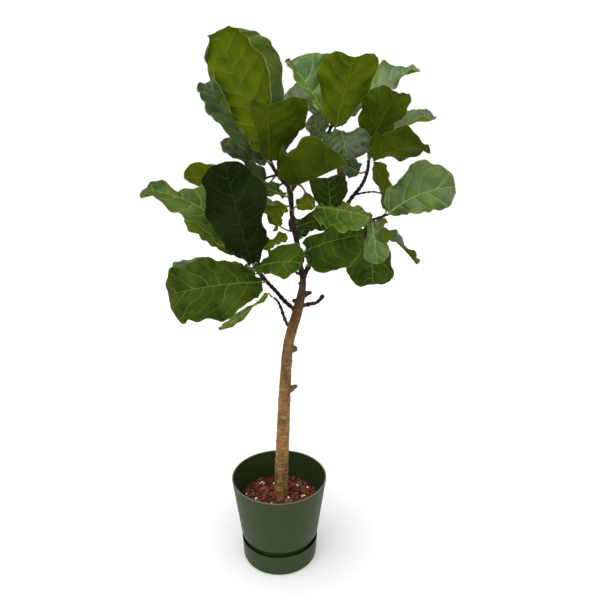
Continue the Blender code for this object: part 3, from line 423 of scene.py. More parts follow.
# ---------------------------------------------------------------- materials


class Graph:
    """A procedural material, written with short calls."""

    def __init__(self, name, **constants):
        self.material = bpy.data.materials.new(name)
        self.material.use_nodes = True
        self.tree = self.material.node_tree
        self.shader = self.tree.nodes["Principled BSDF"]
        for socket, value in constants.items():
            self.shader.inputs[socket.replace("_", " ")].default_value = value

    def put(self, socket, value):
        if isinstance(value, bpy.types.NodeSocket):
            self.tree.links.new(value, socket)
        elif isinstance(value, tuple) and len(value) == 3 and socket.type == "RGBA":
            socket.default_value = (*value, 1.0)
        else:
            socket.default_value = value

    def node(self, kind, inputs, output=0, **settings):
        made = self.tree.nodes.new("ShaderNode" + kind)
        for key, value in settings.items():
            setattr(made, key, value)
        for key, value in inputs.items():
            self.put(made.inputs[key], value)
        return made.outputs[output]

    def math(self, operation, *values):
        return self.node("Math", dict(enumerate(values)), operation=operation)

    def times(self, value, factor):
        return self.math("MULTIPLY", value, factor)

    def line(self, value, factor, start):
        return self.math("MULTIPLY_ADD", value, factor, start)

    def mix(self, share, first, second, blend="MIX"):
        inputs = {0: share, 6: first, 7: second}
        return self.node("Mix", inputs, 2, data_type="RGBA", blend_type=blend)

    def tint(self, body, colour, share, amount):
        """The body turned to the colour where the share says, by up to the amount."""
        return self.mix(self.times(share, amount), body, colour)

    def ease(self, value, low, high, start=0.0, end=1.0):
        inputs = {"Value": value, "From Min": low, "From Max": high, "To Min": start, "To Max": end}
        return self.node("MapRange", inputs, interpolation_type="SMOOTHSTEP")

    def noise(self, vector, scale, detail=3.0, roughness=0.55, distortion=0.0):
        inputs = {"Vector": vector, "Scale": scale, "Detail": detail, "Roughness": roughness}
        inputs["Distortion"] = distortion
        return self.node("TexNoise", inputs, "Fac")

    def cells(self, vector, scale, feature="DISTANCE_TO_EDGE", output="Distance"):
        return self.node("TexVoronoi", {"Vector": vector, "Scale": scale}, output, feature=feature)

    def place(self):
        return self.node("TexCoord", {}, "Object")

    def stretch(self, vector, scale):
        return self.node("Mapping", {"Vector": vector, "Scale": scale})

    def parts(self, vector):
        split = self.tree.nodes.new("ShaderNodeSeparateXYZ")
        self.put(split.inputs[0], vector)
        return list(split.outputs)

    def attribute(self, name):
        return self.parts(self.node("Attribute", {}, "Vector", attribute_name=name))

    def bump(self, height, distance, strength=1.0):
        return self.node("Bump", {"Height": height, "Distance": distance, "Strength": strength})

    def finish(self, colour, roughness, normal=None):
        self.put(self.shader.inputs["Base Color"], colour)
        self.put(self.shader.inputs["Roughness"], roughness)
        if normal is not None:
            self.put(self.shader.inputs["Normal"], normal)
        return self.material


def leaf_material(name, deep, light, vein, vein_share, raised, roughness, **constants):
    """Leaf surface with midrib, side veins and a fine net, drawn in the blade's own coordinates."""
    g = Graph(name, **constants)
    x, y, reach = g.attribute("leaf_place")
    order, spacing, share = g.attribute("leaf_vein")
    shade, tint, wear = g.attribute("leaf_tone_and_painted_light")
    spot = g.node("CombineXYZ", {0: x, 1: y, 2: g.times(wear, 4.0)})
    away = g.math("ABSOLUTE", x)
    gap = g.times(g.math("PINGPONG", order, 0.5), spacing)
    wide = g.line(reach, -0.0006, 0.0010)
    side_vein = g.ease(gap, g.times(wide, 1.6), g.times(wide, 0.3))
    # Pale halo along each side vein, fading towards the middle between veins: partly the paler
    # tissue by the veins, partly painted shade across the swells between them.
    vein_halo_and_painted_shade = g.ease(gap, 0.0055, 0.0)
    rib_wide = g.line(share, -0.0014, 0.0022)
    rib = g.ease(away, g.times(rib_wide, 1.4), g.times(rib_wide, 0.6))
    ladder = g.node("CombineXYZ", {0: g.times(order, 3.0), 1: g.times(away, 120.0)})
    net = g.ease(g.cells(ladder, 1.0), 0.06, 0.0)
    fine = g.ease(g.cells(spot, 420.0), 0.09, 0.0)
    cloud = g.noise(spot, 30.0, 4.0, 0.6)
    speck = g.noise(spot, 260.0, 2.0, 0.6)
    # Broad random patches from deep to light green: partly the blade's own mottling, partly painted
    # light and sheen.
    broad = g.noise(spot, 11.0, 2.0, 0.5, 0.5)
    body = g.mix(g.ease(g.line(broad, 0.8, g.times(cloud, 0.4)), 0.42, 0.76), deep, light)
    body = g.tint(body, light, speck, 0.3)
    marks = ((vein_halo_and_painted_shade, 0.12), (net, 0.10), (fine, 0.05), (side_vein, vein_share))
    for mark, amount in (*marks, (rib, min(1.0, vein_share * 1.3))):
        body = g.tint(body, vein, mark, amount)
    body = g.tint(body, (0.26, 0.31, 0.08), g.ease(reach, 0.972, 0.995), 0.45)
    # Painted light and shade: each leaf's lightness value multiplies its colour. Besides the leaf's
    # own tone, it darkens leaves that sit in shade inside the crown and lightens leaves that catch
    # light or sheen.
    bright = g.line(shade, 0.9, 0.55)
    body = g.mix(1.0, body, g.node("CombineColor", {0: bright, 1: bright, 2: bright}), "MULTIPLY")
    body = g.tint(body, g.mix(1.0, body, (1.55, 1.12, 0.55), "MULTIPLY"), tint, 0.7)
    dry = g.times(g.ease(share, 0.955, 1.0), g.ease(wear, 0.55, 0.75))
    body = g.mix(dry, body, (0.09, 0.045, 0.02))
    height = g.times(g.math("MAXIMUM", rib, g.times(side_vein, 0.8)), raised)
    height = g.line(net, 0.25 * raised, height)
    height = g.line(fine, 0.12 * raised, height)
    height = g.line(g.noise(spot, 120.0, 3.0), 0.3, height)
    rough = g.line(g.noise(spot, 90.0, 3.0), 0.16, roughness - 0.08)
    return g.finish(body, rough, g.bump(height, 0.0009))


def stalk_material():
    g = Graph("leaf_stalk", Specular_IOR_Level=0.4)
    _, along, _ = g.attribute("leaf_place")
    spots = g.ease(g.cells(g.place(), 330.0, "F1"), 0.25, 0.12)
    body = g.mix(g.noise(g.place(), 60.0), (0.10, 0.12, 0.025), (0.16, 0.17, 0.05))
    body = g.tint(body, (0.12, 0.07, 0.035), spots, 0.5)
    body = g.mix(g.ease(along, 0.35, 0.0), body, (0.05, 0.03, 0.018))
    return g.finish(body, 0.5, g.bump(g.noise(g.place(), 300.0), 0.0004))


def bark_material():
    """Tan bark with rings and pale scars on the trunk, near-black bark on the young limbs."""
    g = Graph("bark", Specular_IOR_Level=0.2)
    young, ring, knot = g.attribute("bark_place")
    place = g.place()
    long = g.stretch(place, (1.0, 1.0, 0.35))
    flat = g.stretch(place, (1.0, 1.0, 3.2))
    cloud = g.noise(long, 45.0, 5.0, 0.65)
    patch = g.noise(long, 16.0, 3.0, 0.6)
    streak = g.noise(flat, 70.0, 4.0, 0.6, 0.4)
    grain = g.noise(place, 420.0, 3.0, 0.6)
    old = g.mix(g.ease(cloud, 0.32, 0.68), (0.14, 0.070, 0.020), (0.34, 0.185, 0.062))
    old = g.tint(old, (0.44, 0.20, 0.065), g.ease(patch, 0.5, 0.62), 0.55)
    old = g.tint(old, (0.40, 0.25, 0.11), g.ease(streak, 0.55, 0.68), 0.6)
    old = g.tint(old, (0.045, 0.020, 0.007), g.ease(streak, 0.42, 0.30), 0.7)
    old = g.tint(old, (0.56, 0.38, 0.18), ring, 0.45)
    old = g.tint(old, (0.095, 0.078, 0.060), knot, 0.8)
    old = g.tint(old, (0.075, 0.036, 0.012), g.ease(g.parts(place)[2], 0.38, 0.70), 0.50)
    dark = g.mix(g.ease(cloud, 0.35, 0.7), (0.009, 0.005, 0.005), (0.040, 0.020, 0.013))
    dark = g.tint(dark, (0.10, 0.06, 0.04), ring, 0.35)
    body = g.tint(g.mix(young, old, dark), (0.04, 0.02, 0.012), g.ease(grain, 0.5, 0.75), 0.25)
    height = g.line(streak, 0.7, g.line(grain, 0.35, cloud))
    return g.finish(body, g.ease(cloud, 0.2, 0.8, 0.95, 0.7), g.bump(height, 0.0016))


def plastic_material():
    g = Graph("pot_plastic", Specular_IOR_Level=0.2)
    place = g.place()
    body = g.mix(g.noise(place, 9.0, 3.0), (0.022, 0.038, 0.009), (0.028, 0.046, 0.013))
    dust = g.noise(g.stretch(place, (1.0, 1.0, 0.5)), 60.0, 5.0, 0.7)
    body = g.tint(body, (0.06, 0.075, 0.035), g.ease(dust, 0.55, 0.8), 0.22)
    # Painted highlight: a pale band along the top of the rim's lip, where light catches it.
    lip = g.ease(g.parts(place)[2], POT_HEIGHT - 0.0025, POT_HEIGHT - 0.0002)
    body = g.tint(body, (0.22, 0.18, 0.12), lip, 0.6)
    rough = g.ease(dust, 0.3, 0.8, 0.42, 0.58)
    return g.finish(body, rough, g.bump(g.noise(place, 900.0, 2.0), 0.00012, 0.6))


def mix_material():
    g = Graph("potting_mix", Specular_IOR_Level=0.2)
    pick, tan_and_painted_glint, _ = g.attribute("chip_tone")
    place = g.place()
    body = g.mix(pick, (0.010, 0.003, 0.002), (0.34, 0.045, 0.020))
    # Rare pale tan chips: partly the chips' own colour, partly painted glints that stand in for
    # their highlights.
    body = g.tint(body, (0.34, 0.19, 0.08), tan_and_painted_glint, 0.75)
    body = g.tint(body, (0.03, 0.012, 0.008), g.noise(place, 300.0), 0.5)
    rough = g.ease(g.noise(place, 120.0), 0.3, 0.7, 0.28, 0.7)
    return g.finish(body, rough, g.bump(g.noise(place, 500.0, 4.0), 0.0008))


def perlite_material():
    g = Graph("perlite", Specular_IOR_Level=0.3)
    place = g.place()
    body = g.mix(g.noise(place, 400.0), (0.78, 0.76, 0.72), (0.93, 0.92, 0.90))
    return g.finish(body, 0.9, g.bump(g.cells(place, 900.0, "F1"), 0.0004))


def floor_material():
    g = Graph("studio_floor", Specular_IOR_Level=0.1)
    body = g.mix(g.noise(g.place(), 1.5), (0.86, 0.86, 0.86), (0.88, 0.88, 0.88))
    return g.finish(body, 0.9)


# ---------------------------------------------------------------- building


def add_mesh(name, vertices, faces, materials, picks=None, attributes=None, sharp=50):
    """Adds a mesh object, facing out and shaded smooth."""
    vertices = np.asarray(vertices, dtype=float)
    mesh = bpy.data.meshes.new(name)
    mesh.from_pydata(vertices.tolist(), [], [tuple(map(int, face)) for face in faces])
    for item in materials:
        mesh.materials.append(item)
    if picks is not None:
        mesh.polygons.foreach_set("material_index", np.asarray(picks, dtype=np.int32))
    for key, values in (attributes or {}).items():
        layer = mesh.attributes.new(key, "FLOAT_VECTOR", "POINT")
        layer.data.foreach_set("vector", np.asarray(values, dtype=np.float32).ravel())
    mesh.calc_loop_triangles()
    corners = np.empty(len(mesh.loop_triangles) * 3, dtype=np.int32)
    mesh.loop_triangles.foreach_get("vertices", corners)
    a, b, c = (vertices[corners.reshape(-1, 3)[:, k]] for k in range(3))
    if float(np.einsum("ij,ij->i", a, np.cross(b, c)).sum()) < 0:
        mesh.flip_normals()
    mesh.shade_smooth()
    mesh.set_sharp_from_angle(angle=math.radians(sharp))
    made = bpy.data.objects.new(name, mesh)
    bpy.context.collection.objects.link(made)
    return made


def rides(piece, slot, *nodes):
    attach(piece, BODY)
    if nodes:
        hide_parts(*nodes)


def tube_faces(rings, count, turn=-1):
    """Quads between rings of equal count, and a cap on the first and the last of them."""
    ring, k = np.meshgrid(np.arange(rings - 1), np.arange(count), indexing="ij")
    here, there, after = ring * count, (ring + 1) * count, (k + 1) % count
    quads = np.stack([here + k, here + after, there + after, there + k], axis=-1)
    first, last = (tuple(range(start, start + count)) for start in (0, (rings - 1) * count))
    return [first[::turn], *map(tuple, quads.reshape(-1, 4)), last[::-turn]]


def undulation(rng, x, y, size):
    """Smooth random waves of about one unit's height."""
    total = np.zeros_like(x)
    for _ in range(5):
        angle, phase = rng.uniform(0, 2 * np.pi, 2)
        pace = 2 * np.pi / size * rng.uniform(0.6, 1.5)
        total += np.sin(pace * (x * np.cos(angle) + y * np.sin(angle)) + phase)
    return total / 2.2


def vein_order(x, y, half, spacing):
    """Which side vein a place of the blade lies on. Whole numbers are veins, from the base up."""
    away = np.abs(x)
    sweep = away * (0.42 + 0.55 * away / half)
    ahead = (y - sweep) / spacing
    turn = np.arctan2(away, y) - np.arctan2(away, np.maximum(sweep, 1e-6))
    behind = -turn / math.radians(38)
    order = np.where(y >= sweep, ahead, behind)
    return order + np.where(x > 0, 0.4, 0.0) * np.clip(order, 0, 1)


def ruffled(rng, leaf, point, normal, along, across, half):
    """Small frills and scallops of the margin, on top of the CAD leaf's own waves."""
    swell = np.clip(spline(OUTLINES[leaf["outline"]], along)[..., 1], 0, 1) ** 0.7
    swell = swell * rng.uniform(0.5, 1.1)
    reach = np.abs(across)
    outward = unit(np.gradient(point, axis=1) * np.where(across >= 0, 1.0, -1.0)[..., None])
    rise, spread = np.zeros_like(along), np.zeros_like(along)
    for half_sign in (-1.0, 1.0):
        mask = np.where(across * half_sign > 0, 1.0, 0.0)
        for pace, frill, scallop in FRILLS:
            pace = pace * rng.uniform(0.85, 1.15)
            phase, other = rng.uniform(0, 2 * np.pi, 2)
            bend = along + 0.04 * np.sin(2 * np.pi * along * 1.7 + other)
            rise += mask * frill * np.sin(2 * np.pi * pace * bend + phase)
            spread += mask * scallop * np.sin(2 * np.pi * pace * bend + phase + 1.0)
    rise *= half * swell * reach**2.6
    spread *= half * swell * reach**3
    return point + normal * rise[..., None] + outward * spread[..., None]


def both_skins(top, under):
    """One ring around a leaf: out along its upper skin, and back along its under skin."""
    return np.vstack([top, under[::-1]])


def stalk_rings(leaf, across, round_half, shares):
    """The stalk's rings from the wood to the blade. They are followed back from the blade, so that
    both meet without a twist."""
    curve, slope = stalk_path(leaf, shares)
    sideways = leaf_axes(leaf)[4]
    rings = []
    for share, centre, tangent in zip(shares[::-1], curve[::-1], slope[::-1]):
        sideways = unit(sideways - tangent * (sideways @ tangent))
        rise = np.outer(round_half, np.cross(sideways, tangent))
        radius = STALK_RADIUS * (1.0 + 0.55 * (1 - share) ** 6 + 0.15 * share**8)
        line = centre + np.outer(across * radius, sideways)
        rings.append(both_skins(line + rise * radius, line - rise * radius))
    return rings[::-1]


def leaf_piece(name, leaf, materials):
    rng = np.random.default_rng(int(leaf["phase"] * 1000) + 17)
    _, length, _, _, side = leaf_axes(leaf)
    half = max(leaf["left"][0], leaf["right"][0])
    out = np.linspace(0, 1, int(np.clip(half / LEAF_STEP, 12, 44)) + 1)
    out = np.union1d(0.75 * out + 0.25 * out**2, np.array([0.0008, 0.0018]) / half)
    across = np.concatenate([-out[:0:-1], out])
    along = np.linspace(0, 1, int(np.clip(length / LEAF_STEP, 34, 110)))
    along = np.union1d(along, [0.004, 0.01, 0.018, 0.99])
    columns, middle, count = len(across), len(across) // 2, 2 * len(across)
    round_half = np.sqrt(np.clip(1 - across**2, 0.0, 1))
    rings = stalk_rings(leaf, across, round_half, STALK_SHARES)
    place = [np.tile((0.0, share, 0.0), (count, 1)) for share in STALK_SHARES]
    vein = [np.tile((0.0, 0.03, 0.0), (count, 1)) for _ in STALK_SHARES]

    grid_along, grid_across = np.meshgrid(along, across, indexing="ij")
    point, normal, y, x = blade(leaf, grid_along, grid_across)
    reach = np.abs(grid_across)
    spacing = length / np.clip(round(length / VEIN_SPACING), 4, 7)
    order = vein_order(x, y, half, spacing) + 0.16 * undulation(rng, x, y, 0.11)
    dome = np.abs(np.sin(np.pi * order)) ** 0.8 - 0.5
    grip = np.clip(np.abs(x) / 0.012, 0, 1) * (1 - reach**5)
    rise = DOME_RISE * spacing / VEIN_SPACING * dome * grip
    rise += 0.0014 * undulation(rng, x, y, 0.07) * np.clip(np.abs(x) / 0.03, 0, 1)
    point = point + normal * rise[..., None]
    point = ruffled(rng, leaf, point, normal, grid_along, grid_across, half)

    share = np.clip(y / length, 0, 1)
    ridge = np.exp(-((x / (0.0024 - 0.0014 * share)) ** 2))
    skin = BLADE_THICKNESS * 0.5 * (1 - 0.4 * reach**3)
    under_side = skin + RIB_RISE * (1 - 0.75 * share) * ridge
    upper_side = skin - 0.0004 * ridge
    for row in range(len(along)):
        line, late = point[row], along[row] > 0.5
        spread = float(np.max(np.linalg.norm(line - line[middle], axis=-1)))
        need = STALK_RADIUS * (0.35 if late else 1.0)
        if spread < need:
            line = line[middle] + np.outer(across * need, side)
            lift = np.outer(round_half * need, normal[row, middle])
            rings.append(both_skins(line + lift * (0.5 if late else 1), line - lift))
        else:
            top = line + normal[row] * upper_side[row][:, None]
            rings.append(both_skins(top, line - normal[row] * under_side[row][:, None]))
        spot = np.stack([x[row], y[row], reach[row]], axis=-1)
        place.append(both_skins(spot, spot))
        spot = np.stack([order[row], np.full(columns, spacing), share[row]], axis=-1)
        vein.append(both_skins(spot, spot))

    picks = np.tile(np.where(np.arange(count) < columns - 1, 0, 1), (len(rings) - 1, 1))
    picks[: len(STALK_SHARES)] = 2
    picks = np.concatenate([[2], picks.ravel(), [1]])
    tone = np.tile((*leaf["tone_and_painted_light"], rng.random()), (len(rings) * count, 1))
    attributes = {"leaf_place": np.vstack(place), "leaf_vein": np.vstack(vein), "leaf_tone_and_painted_light": tone}
    faces = tube_faces(len(rings), count, 1)
    piece = add_mesh("fine_leaf_" + name, np.vstack(rings), faces, materials, picks, attributes)
    rides(piece, "leaf", "leaf_" + name)


def turned(name, profile, material):
    angles = 2 * np.pi * np.arange(TURNED_SIDES) / TURNED_SIDES
    around = np.stack([np.cos(angles), np.sin(angles)], axis=-1)
    rings = [
        np.column_stack([around * max(radius, 0.0), np.full(TURNED_SIDES, height)])
        for radius, height in profile
    ]
    faces = tube_faces(len(rings), TURNED_SIDES)
    return add_mesh(name, np.vstack(rings), faces, [material], sharp=35)


def rounded(corners, radius, steps=4):
    """The profile with each corner rounded, as moulded plastic is."""
    corners = [np.array(corner, dtype=float) for corner in corners]
    made = [corners[0]]
    for before, corner, after in zip(corners, corners[1:], corners[2:]):
        back, on = before - corner, after - corner
        size = min(radius, 0.45 * np.linalg.norm(back), 0.45 * np.linalg.norm(on))
        start, end = corner + unit(back) * size, corner + unit(on) * size
        for t in np.linspace(0, 1, steps):
            made.append(start * (1 - t) ** 2 + 2 * corner * t * (1 - t) + end * t**2)
    made.append(corners[-1])
    return [tuple(point) for point in made]


def pot_inner_radius(height):
    share = (height - POT_SHOULDER_HEIGHT) / (POT_HEIGHT - POT_SHOULDER_HEIGHT)
    return POT_SHOULDER_RADIUS + (POT_RIM_RADIUS - POT_SHOULDER_RADIUS) * share - POT_WALL


def make_pot_and_saucer():
    plastic = plastic_material()
    inner_base = SAUCER_BASE_RADIUS - SAUCER_WALL
    saucer = [(0.02, 0.0), (SAUCER_BASE_RADIUS - SAUCER_EDGE_ROUND, 0.0)]
    for step in range(1, 9):
        angle = math.radians(90 * step / 8)
        side = SAUCER_BASE_RADIUS - SAUCER_EDGE_ROUND * (1 - math.sin(angle))
        saucer.append((side, SAUCER_EDGE_ROUND * (1 - math.cos(angle))))
    saucer += [
        (SAUCER_RIM_RADIUS, SAUCER_HEIGHT),
        (SAUCER_RIM_RADIUS - SAUCER_WALL, SAUCER_HEIGHT),
        (inner_base, SAUCER_FLOOR),
        (0.02, SAUCER_FLOOR),
    ]
    piece = turned("saucer_shell", rounded(saucer, 0.0014), plastic)
    rides(piece, "pot_plastic", "saucer")
    foot = SAUCER_FLOOR + GAP
    step = POT_SHOULDER_HEIGHT - 0.004
    lip = POT_RIM_RADIUS - POT_LIP
    pot = [
        (0.02, foot),
        (POT_FOOT_RADIUS, foot),
        (POT_FOOT_RADIUS, step),
        (POT_SHOULDER_RADIUS - 0.003, step),
        (POT_SHOULDER_RADIUS, POT_SHOULDER_HEIGHT),
        (POT_RIM_RADIUS, POT_HEIGHT),
        (lip, POT_HEIGHT),
        (lip - 0.0004, POT_HEIGHT - 0.008),
        (pot_inner_radius(POT_HEIGHT - 0.012), POT_HEIGHT - 0.012),
        (pot_inner_radius(POT_SHOULDER_HEIGHT + 0.004), POT_SHOULDER_HEIGHT + 0.004),
        (POT_FOOT_RADIUS - POT_WALL, step + POT_WALL),
        (POT_FOOT_RADIUS - POT_WALL, foot + POT_WALL),
        (0.02, foot + POT_WALL),
    ]
    piece = turned("pot_shell", rounded(pot, 0.0016), plastic)
    rides(piece, "pot_plastic", "pot")


def soil_height(x, y):
    edge = pot_inner_radius(SOIL_EDGE_HEIGHT)
    reach = np.clip(np.hypot(x, y) / edge, 0, 1)
    rise = SOIL_CROWN_HEIGHT - SOIL_EDGE_HEIGHT
    return SOIL_EDGE_HEIGHT + rise * (1 - reach**2.5) - 0.003


def make_soil():
    """A rough bed of fine mix, with bark chips, clay grains and perlite lying on it."""
    mix = mix_material()
    edge = pot_inner_radius(SOIL_EDGE_HEIGHT) - 0.0012
    rings, sides = 60, 160
    vertices = []
    for ring in range(rings + 1):
        radius = edge * (ring + 0.5) / (rings + 0.5)
        for k in range(sides):
            angle = 2 * math.pi * k / sides
            x, y = radius * math.cos(angle), radius * math.sin(angle)
            rough = noise.fractal(Vector((x, y, 0.3)) * 90, 0.9, 2.0, 4)
            vertices.append((x, y, float(soil_height(x, y)) + 0.0022 * rough))
    floor_z = SAUCER_FLOOR + POT_WALL + 2 * GAP
    below = [
        (edge - 0.001, SOIL_EDGE_HEIGHT - 0.012),
        (pot_inner_radius(POT_SHOULDER_HEIGHT + 0.005) - 0.001, POT_SHOULDER_HEIGHT + 0.005),
        (POT_FOOT_RADIUS - POT_WALL - 0.001, POT_SHOULDER_HEIGHT - 0.001),
        (POT_FOOT_RADIUS - POT_WALL - 0.001, floor_z),
    ]
    for radius, height in below:
        for k in range(sides):
            angle = 2 * math.pi * k / sides
            vertices.append((radius * math.cos(angle), radius * math.sin(angle), height))
    faces = tube_faces(rings + 1 + len(below), sides, 1)
    # The bed between the chips is kept near black: partly the fine mix's own dark colour, partly
    # painted shade in the gaps between chips.
    tone = np.tile((0.12, 0.1, 0.0), (len(vertices), 1))
    bed = add_mesh("potting_mix_bed", vertices, faces, [mix], None, {"chip_tone": tone}, 80)
    rides(bed, "potting_mix", "soil")
    scatter("bark_chips", 750, (0.007, 0.019), (1.0, 0.7, 0.42), 5, mix, edge)
    scatter("clay_grains", 1500, (0.003, 0.0075), (1.0, 0.9, 0.75), 9, mix, edge)
    scatter("perlite_grains", 40, (0.005, 0.013), (1.0, 0.85, 0.7), 21, perlite_material(), edge)


def grain_shape(rng):
    """A rough pebble: a 26-point ball with its points pushed in and out."""
    points = [(0, 0, -1)]
    for height in (-0.7, 0.0, 0.7):
        ring = math.sqrt(1 - height * height)
        for k in range(8):
            angle = 2 * math.pi * (k + 0.5 * (height != 0)) / 8
            points.append((ring * math.cos(angle), ring * math.sin(angle), height))
    points.append((0, 0, 1))
    points = np.array(points) * rng.uniform(0.72, 1.12, (26, 1))
    faces = [(0, 1 + (k + 1) % 8, 1 + k) for k in range(8)]
    for ring in range(2):
        for k in range(8):
            here, after = 1 + ring * 8 + k, 1 + ring * 8 + (k + 1) % 8
            faces.append((here, after, after + 8))
            faces.append((here, after + 8, here + 8))
    faces += [(25, 17 + k, 17 + (k + 1) % 8) for k in range(8)]
    return points, np.array(faces)


def turn_matrix(rng):
    a, b, c = rng.normal(size=3) * (0.45, 0.45, 3.0)
    x = np.array([[1, 0, 0], [0, math.cos(a), -math.sin(a)], [0, math.sin(a), math.cos(a)]])
    y = np.array([[math.cos(b), 0, math.sin(b)], [0, 1, 0], [-math.sin(b), 0, math.cos(b)]])
    z = np.array([[math.cos(c), -math.sin(c), 0], [math.sin(c), math.cos(c), 0], [0, 0, 1]])
    return z @ y @ x


def scatter(name, count, sizes, squash, seed, material, edge):
    rng = np.random.default_rng(seed)
    vertices, faces, tones = [], [], []
    for _ in range(count):
        size = rng.uniform(*sizes) * rng.uniform(0.7, 1.0)
        radius = (edge - size * 0.6) * math.sqrt(rng.random())
        angle = rng.uniform(0, 2 * math.pi)
        x, y = radius * math.cos(angle), radius * math.sin(angle)
        points, shape = grain_shape(rng)
        points = (points * squash * size * 0.5) @ turn_matrix(rng).T
        lift = rng.uniform(0.0, 0.35) * size
        centre = np.array([x, y, float(soil_height(x, y)) + lift + 0.001])
        if math.dist((x, y), TRUNK_FOOT) < TRUNK_FOOT_RADIUS + size * 0.5:
            continue
        faces.append(shape + len(points) * len(vertices))
        vertices.append(points + centre)
        # Painted shade: chips are made darker towards the pot wall, where the rim shades the soil.
        shade = 1 - 0.65 * (radius / edge) ** 5
        # The second value picks the rare pale tan chips, which partly stand in for glints as
        # painted highlights.
        tone = (shade * rng.random() ** 1.4, rng.random() ** 3 * shade, 0.0)
        tones.append(np.tile(tone, (len(points), 1)))
    tones = {"chip_tone": np.vstack(tones)}
    made = add_mesh(name, np.vstack(vertices), np.vstack(faces), [material], None, tones, 35)
    rides(made, "potting_mix")


# ---------------------------------------------------------------- wood

# Stubs and spurs on the wood: the run and the share along it where each starts, then its
# direction, its length, and its radius at its foot and at its end.
STUBS = [
    ("trunk", 0.256, (1.0, -0.25, 0.75), 0.047, 0.0125, 0.0052),
    ("trunk", 0.306, (1.0, -0.3, 0.10), 0.027, 0.0165, 0.0075),
    ("trunk", 0.44, (1.0, -0.1, 0.35), 0.032, 0.0125, 0.0040),
    ("trunk", 0.42, (-1.0, -0.2, 0.5), 0.023, 0.0090, 0.0050),
    ("trunk", 0.475, (-0.7, -0.7, 0.6), 0.018, 0.0070, 0.0045),
    ("cut_stub_right", 0.95, (0.3, 0.0, 1.0), 0.008, 0.0072, 0.0056),
]


def limb_mesh(run, swelling):
    """A closed round tube along a run of the wood, swollen at its nodes: vertices, faces, path."""
    length = float(np.linalg.norm(np.diff(np.array(run)[:, :3], axis=0), axis=1).sum())
    path = spline(run, np.linspace(0, 1, max(6, int(length / LIMB_STEP))))
    if swelling:
        nodes = np.sin(np.linspace(0, 2 * np.pi * round(length / NODE_SPACING), len(path)) + 1.0)
        path[:, 3] *= 1 + swelling * np.clip(nodes, 0, 1) ** 3
    tangents = unit(np.gradient(path[:, :3], axis=0))
    sideways = unit(np.cross(tangents[0], (0.0, 1.0, 0.0)))
    angles = 2 * np.pi * np.arange(LIMB_SIDES) / LIMB_SIDES
    vertices = []
    for point, tangent in zip(path, tangents):
        sideways = unit(sideways - tangent * (sideways @ tangent))
        other = np.cross(tangent, sideways)
        around = np.outer(np.cos(angles), sideways) + np.outer(np.sin(angles), other)
        vertices.append(point[:3] + point[3] * around)
    return np.vstack(vertices), tube_faces(len(vertices), LIMB_SIDES), path


def wood_runs():
    """Every run of the wood, with the small stubs and the buds at the limbs' ends."""
    runs = list(WOOD.values())
    for name, share, direction, length, foot, end in STUBS:
        start = spline(WOOD[name], np.array([share]))[0, :3]
        tip = start + unit(np.array(direction)) * length
        runs.append([(*start, foot), (*(start + tip) / 2, (foot + end) / 2), (*tip, end)])
    for name in ("trunk", "crown_middle", "right", "right_lower", "low_left"):
        before, end = spline(WOOD[name], np.array([0.97, 1.0]))
        growth = unit(end[:3] - before[:3])
        foot, tip = end[:3] - growth * 0.003, end[:3] + growth * 0.016
        runs.append([(*foot, end[3] * 0.95), (*(foot + tip) / 2, end[3] * 0.8), (*tip, 0.0009)])
    return runs


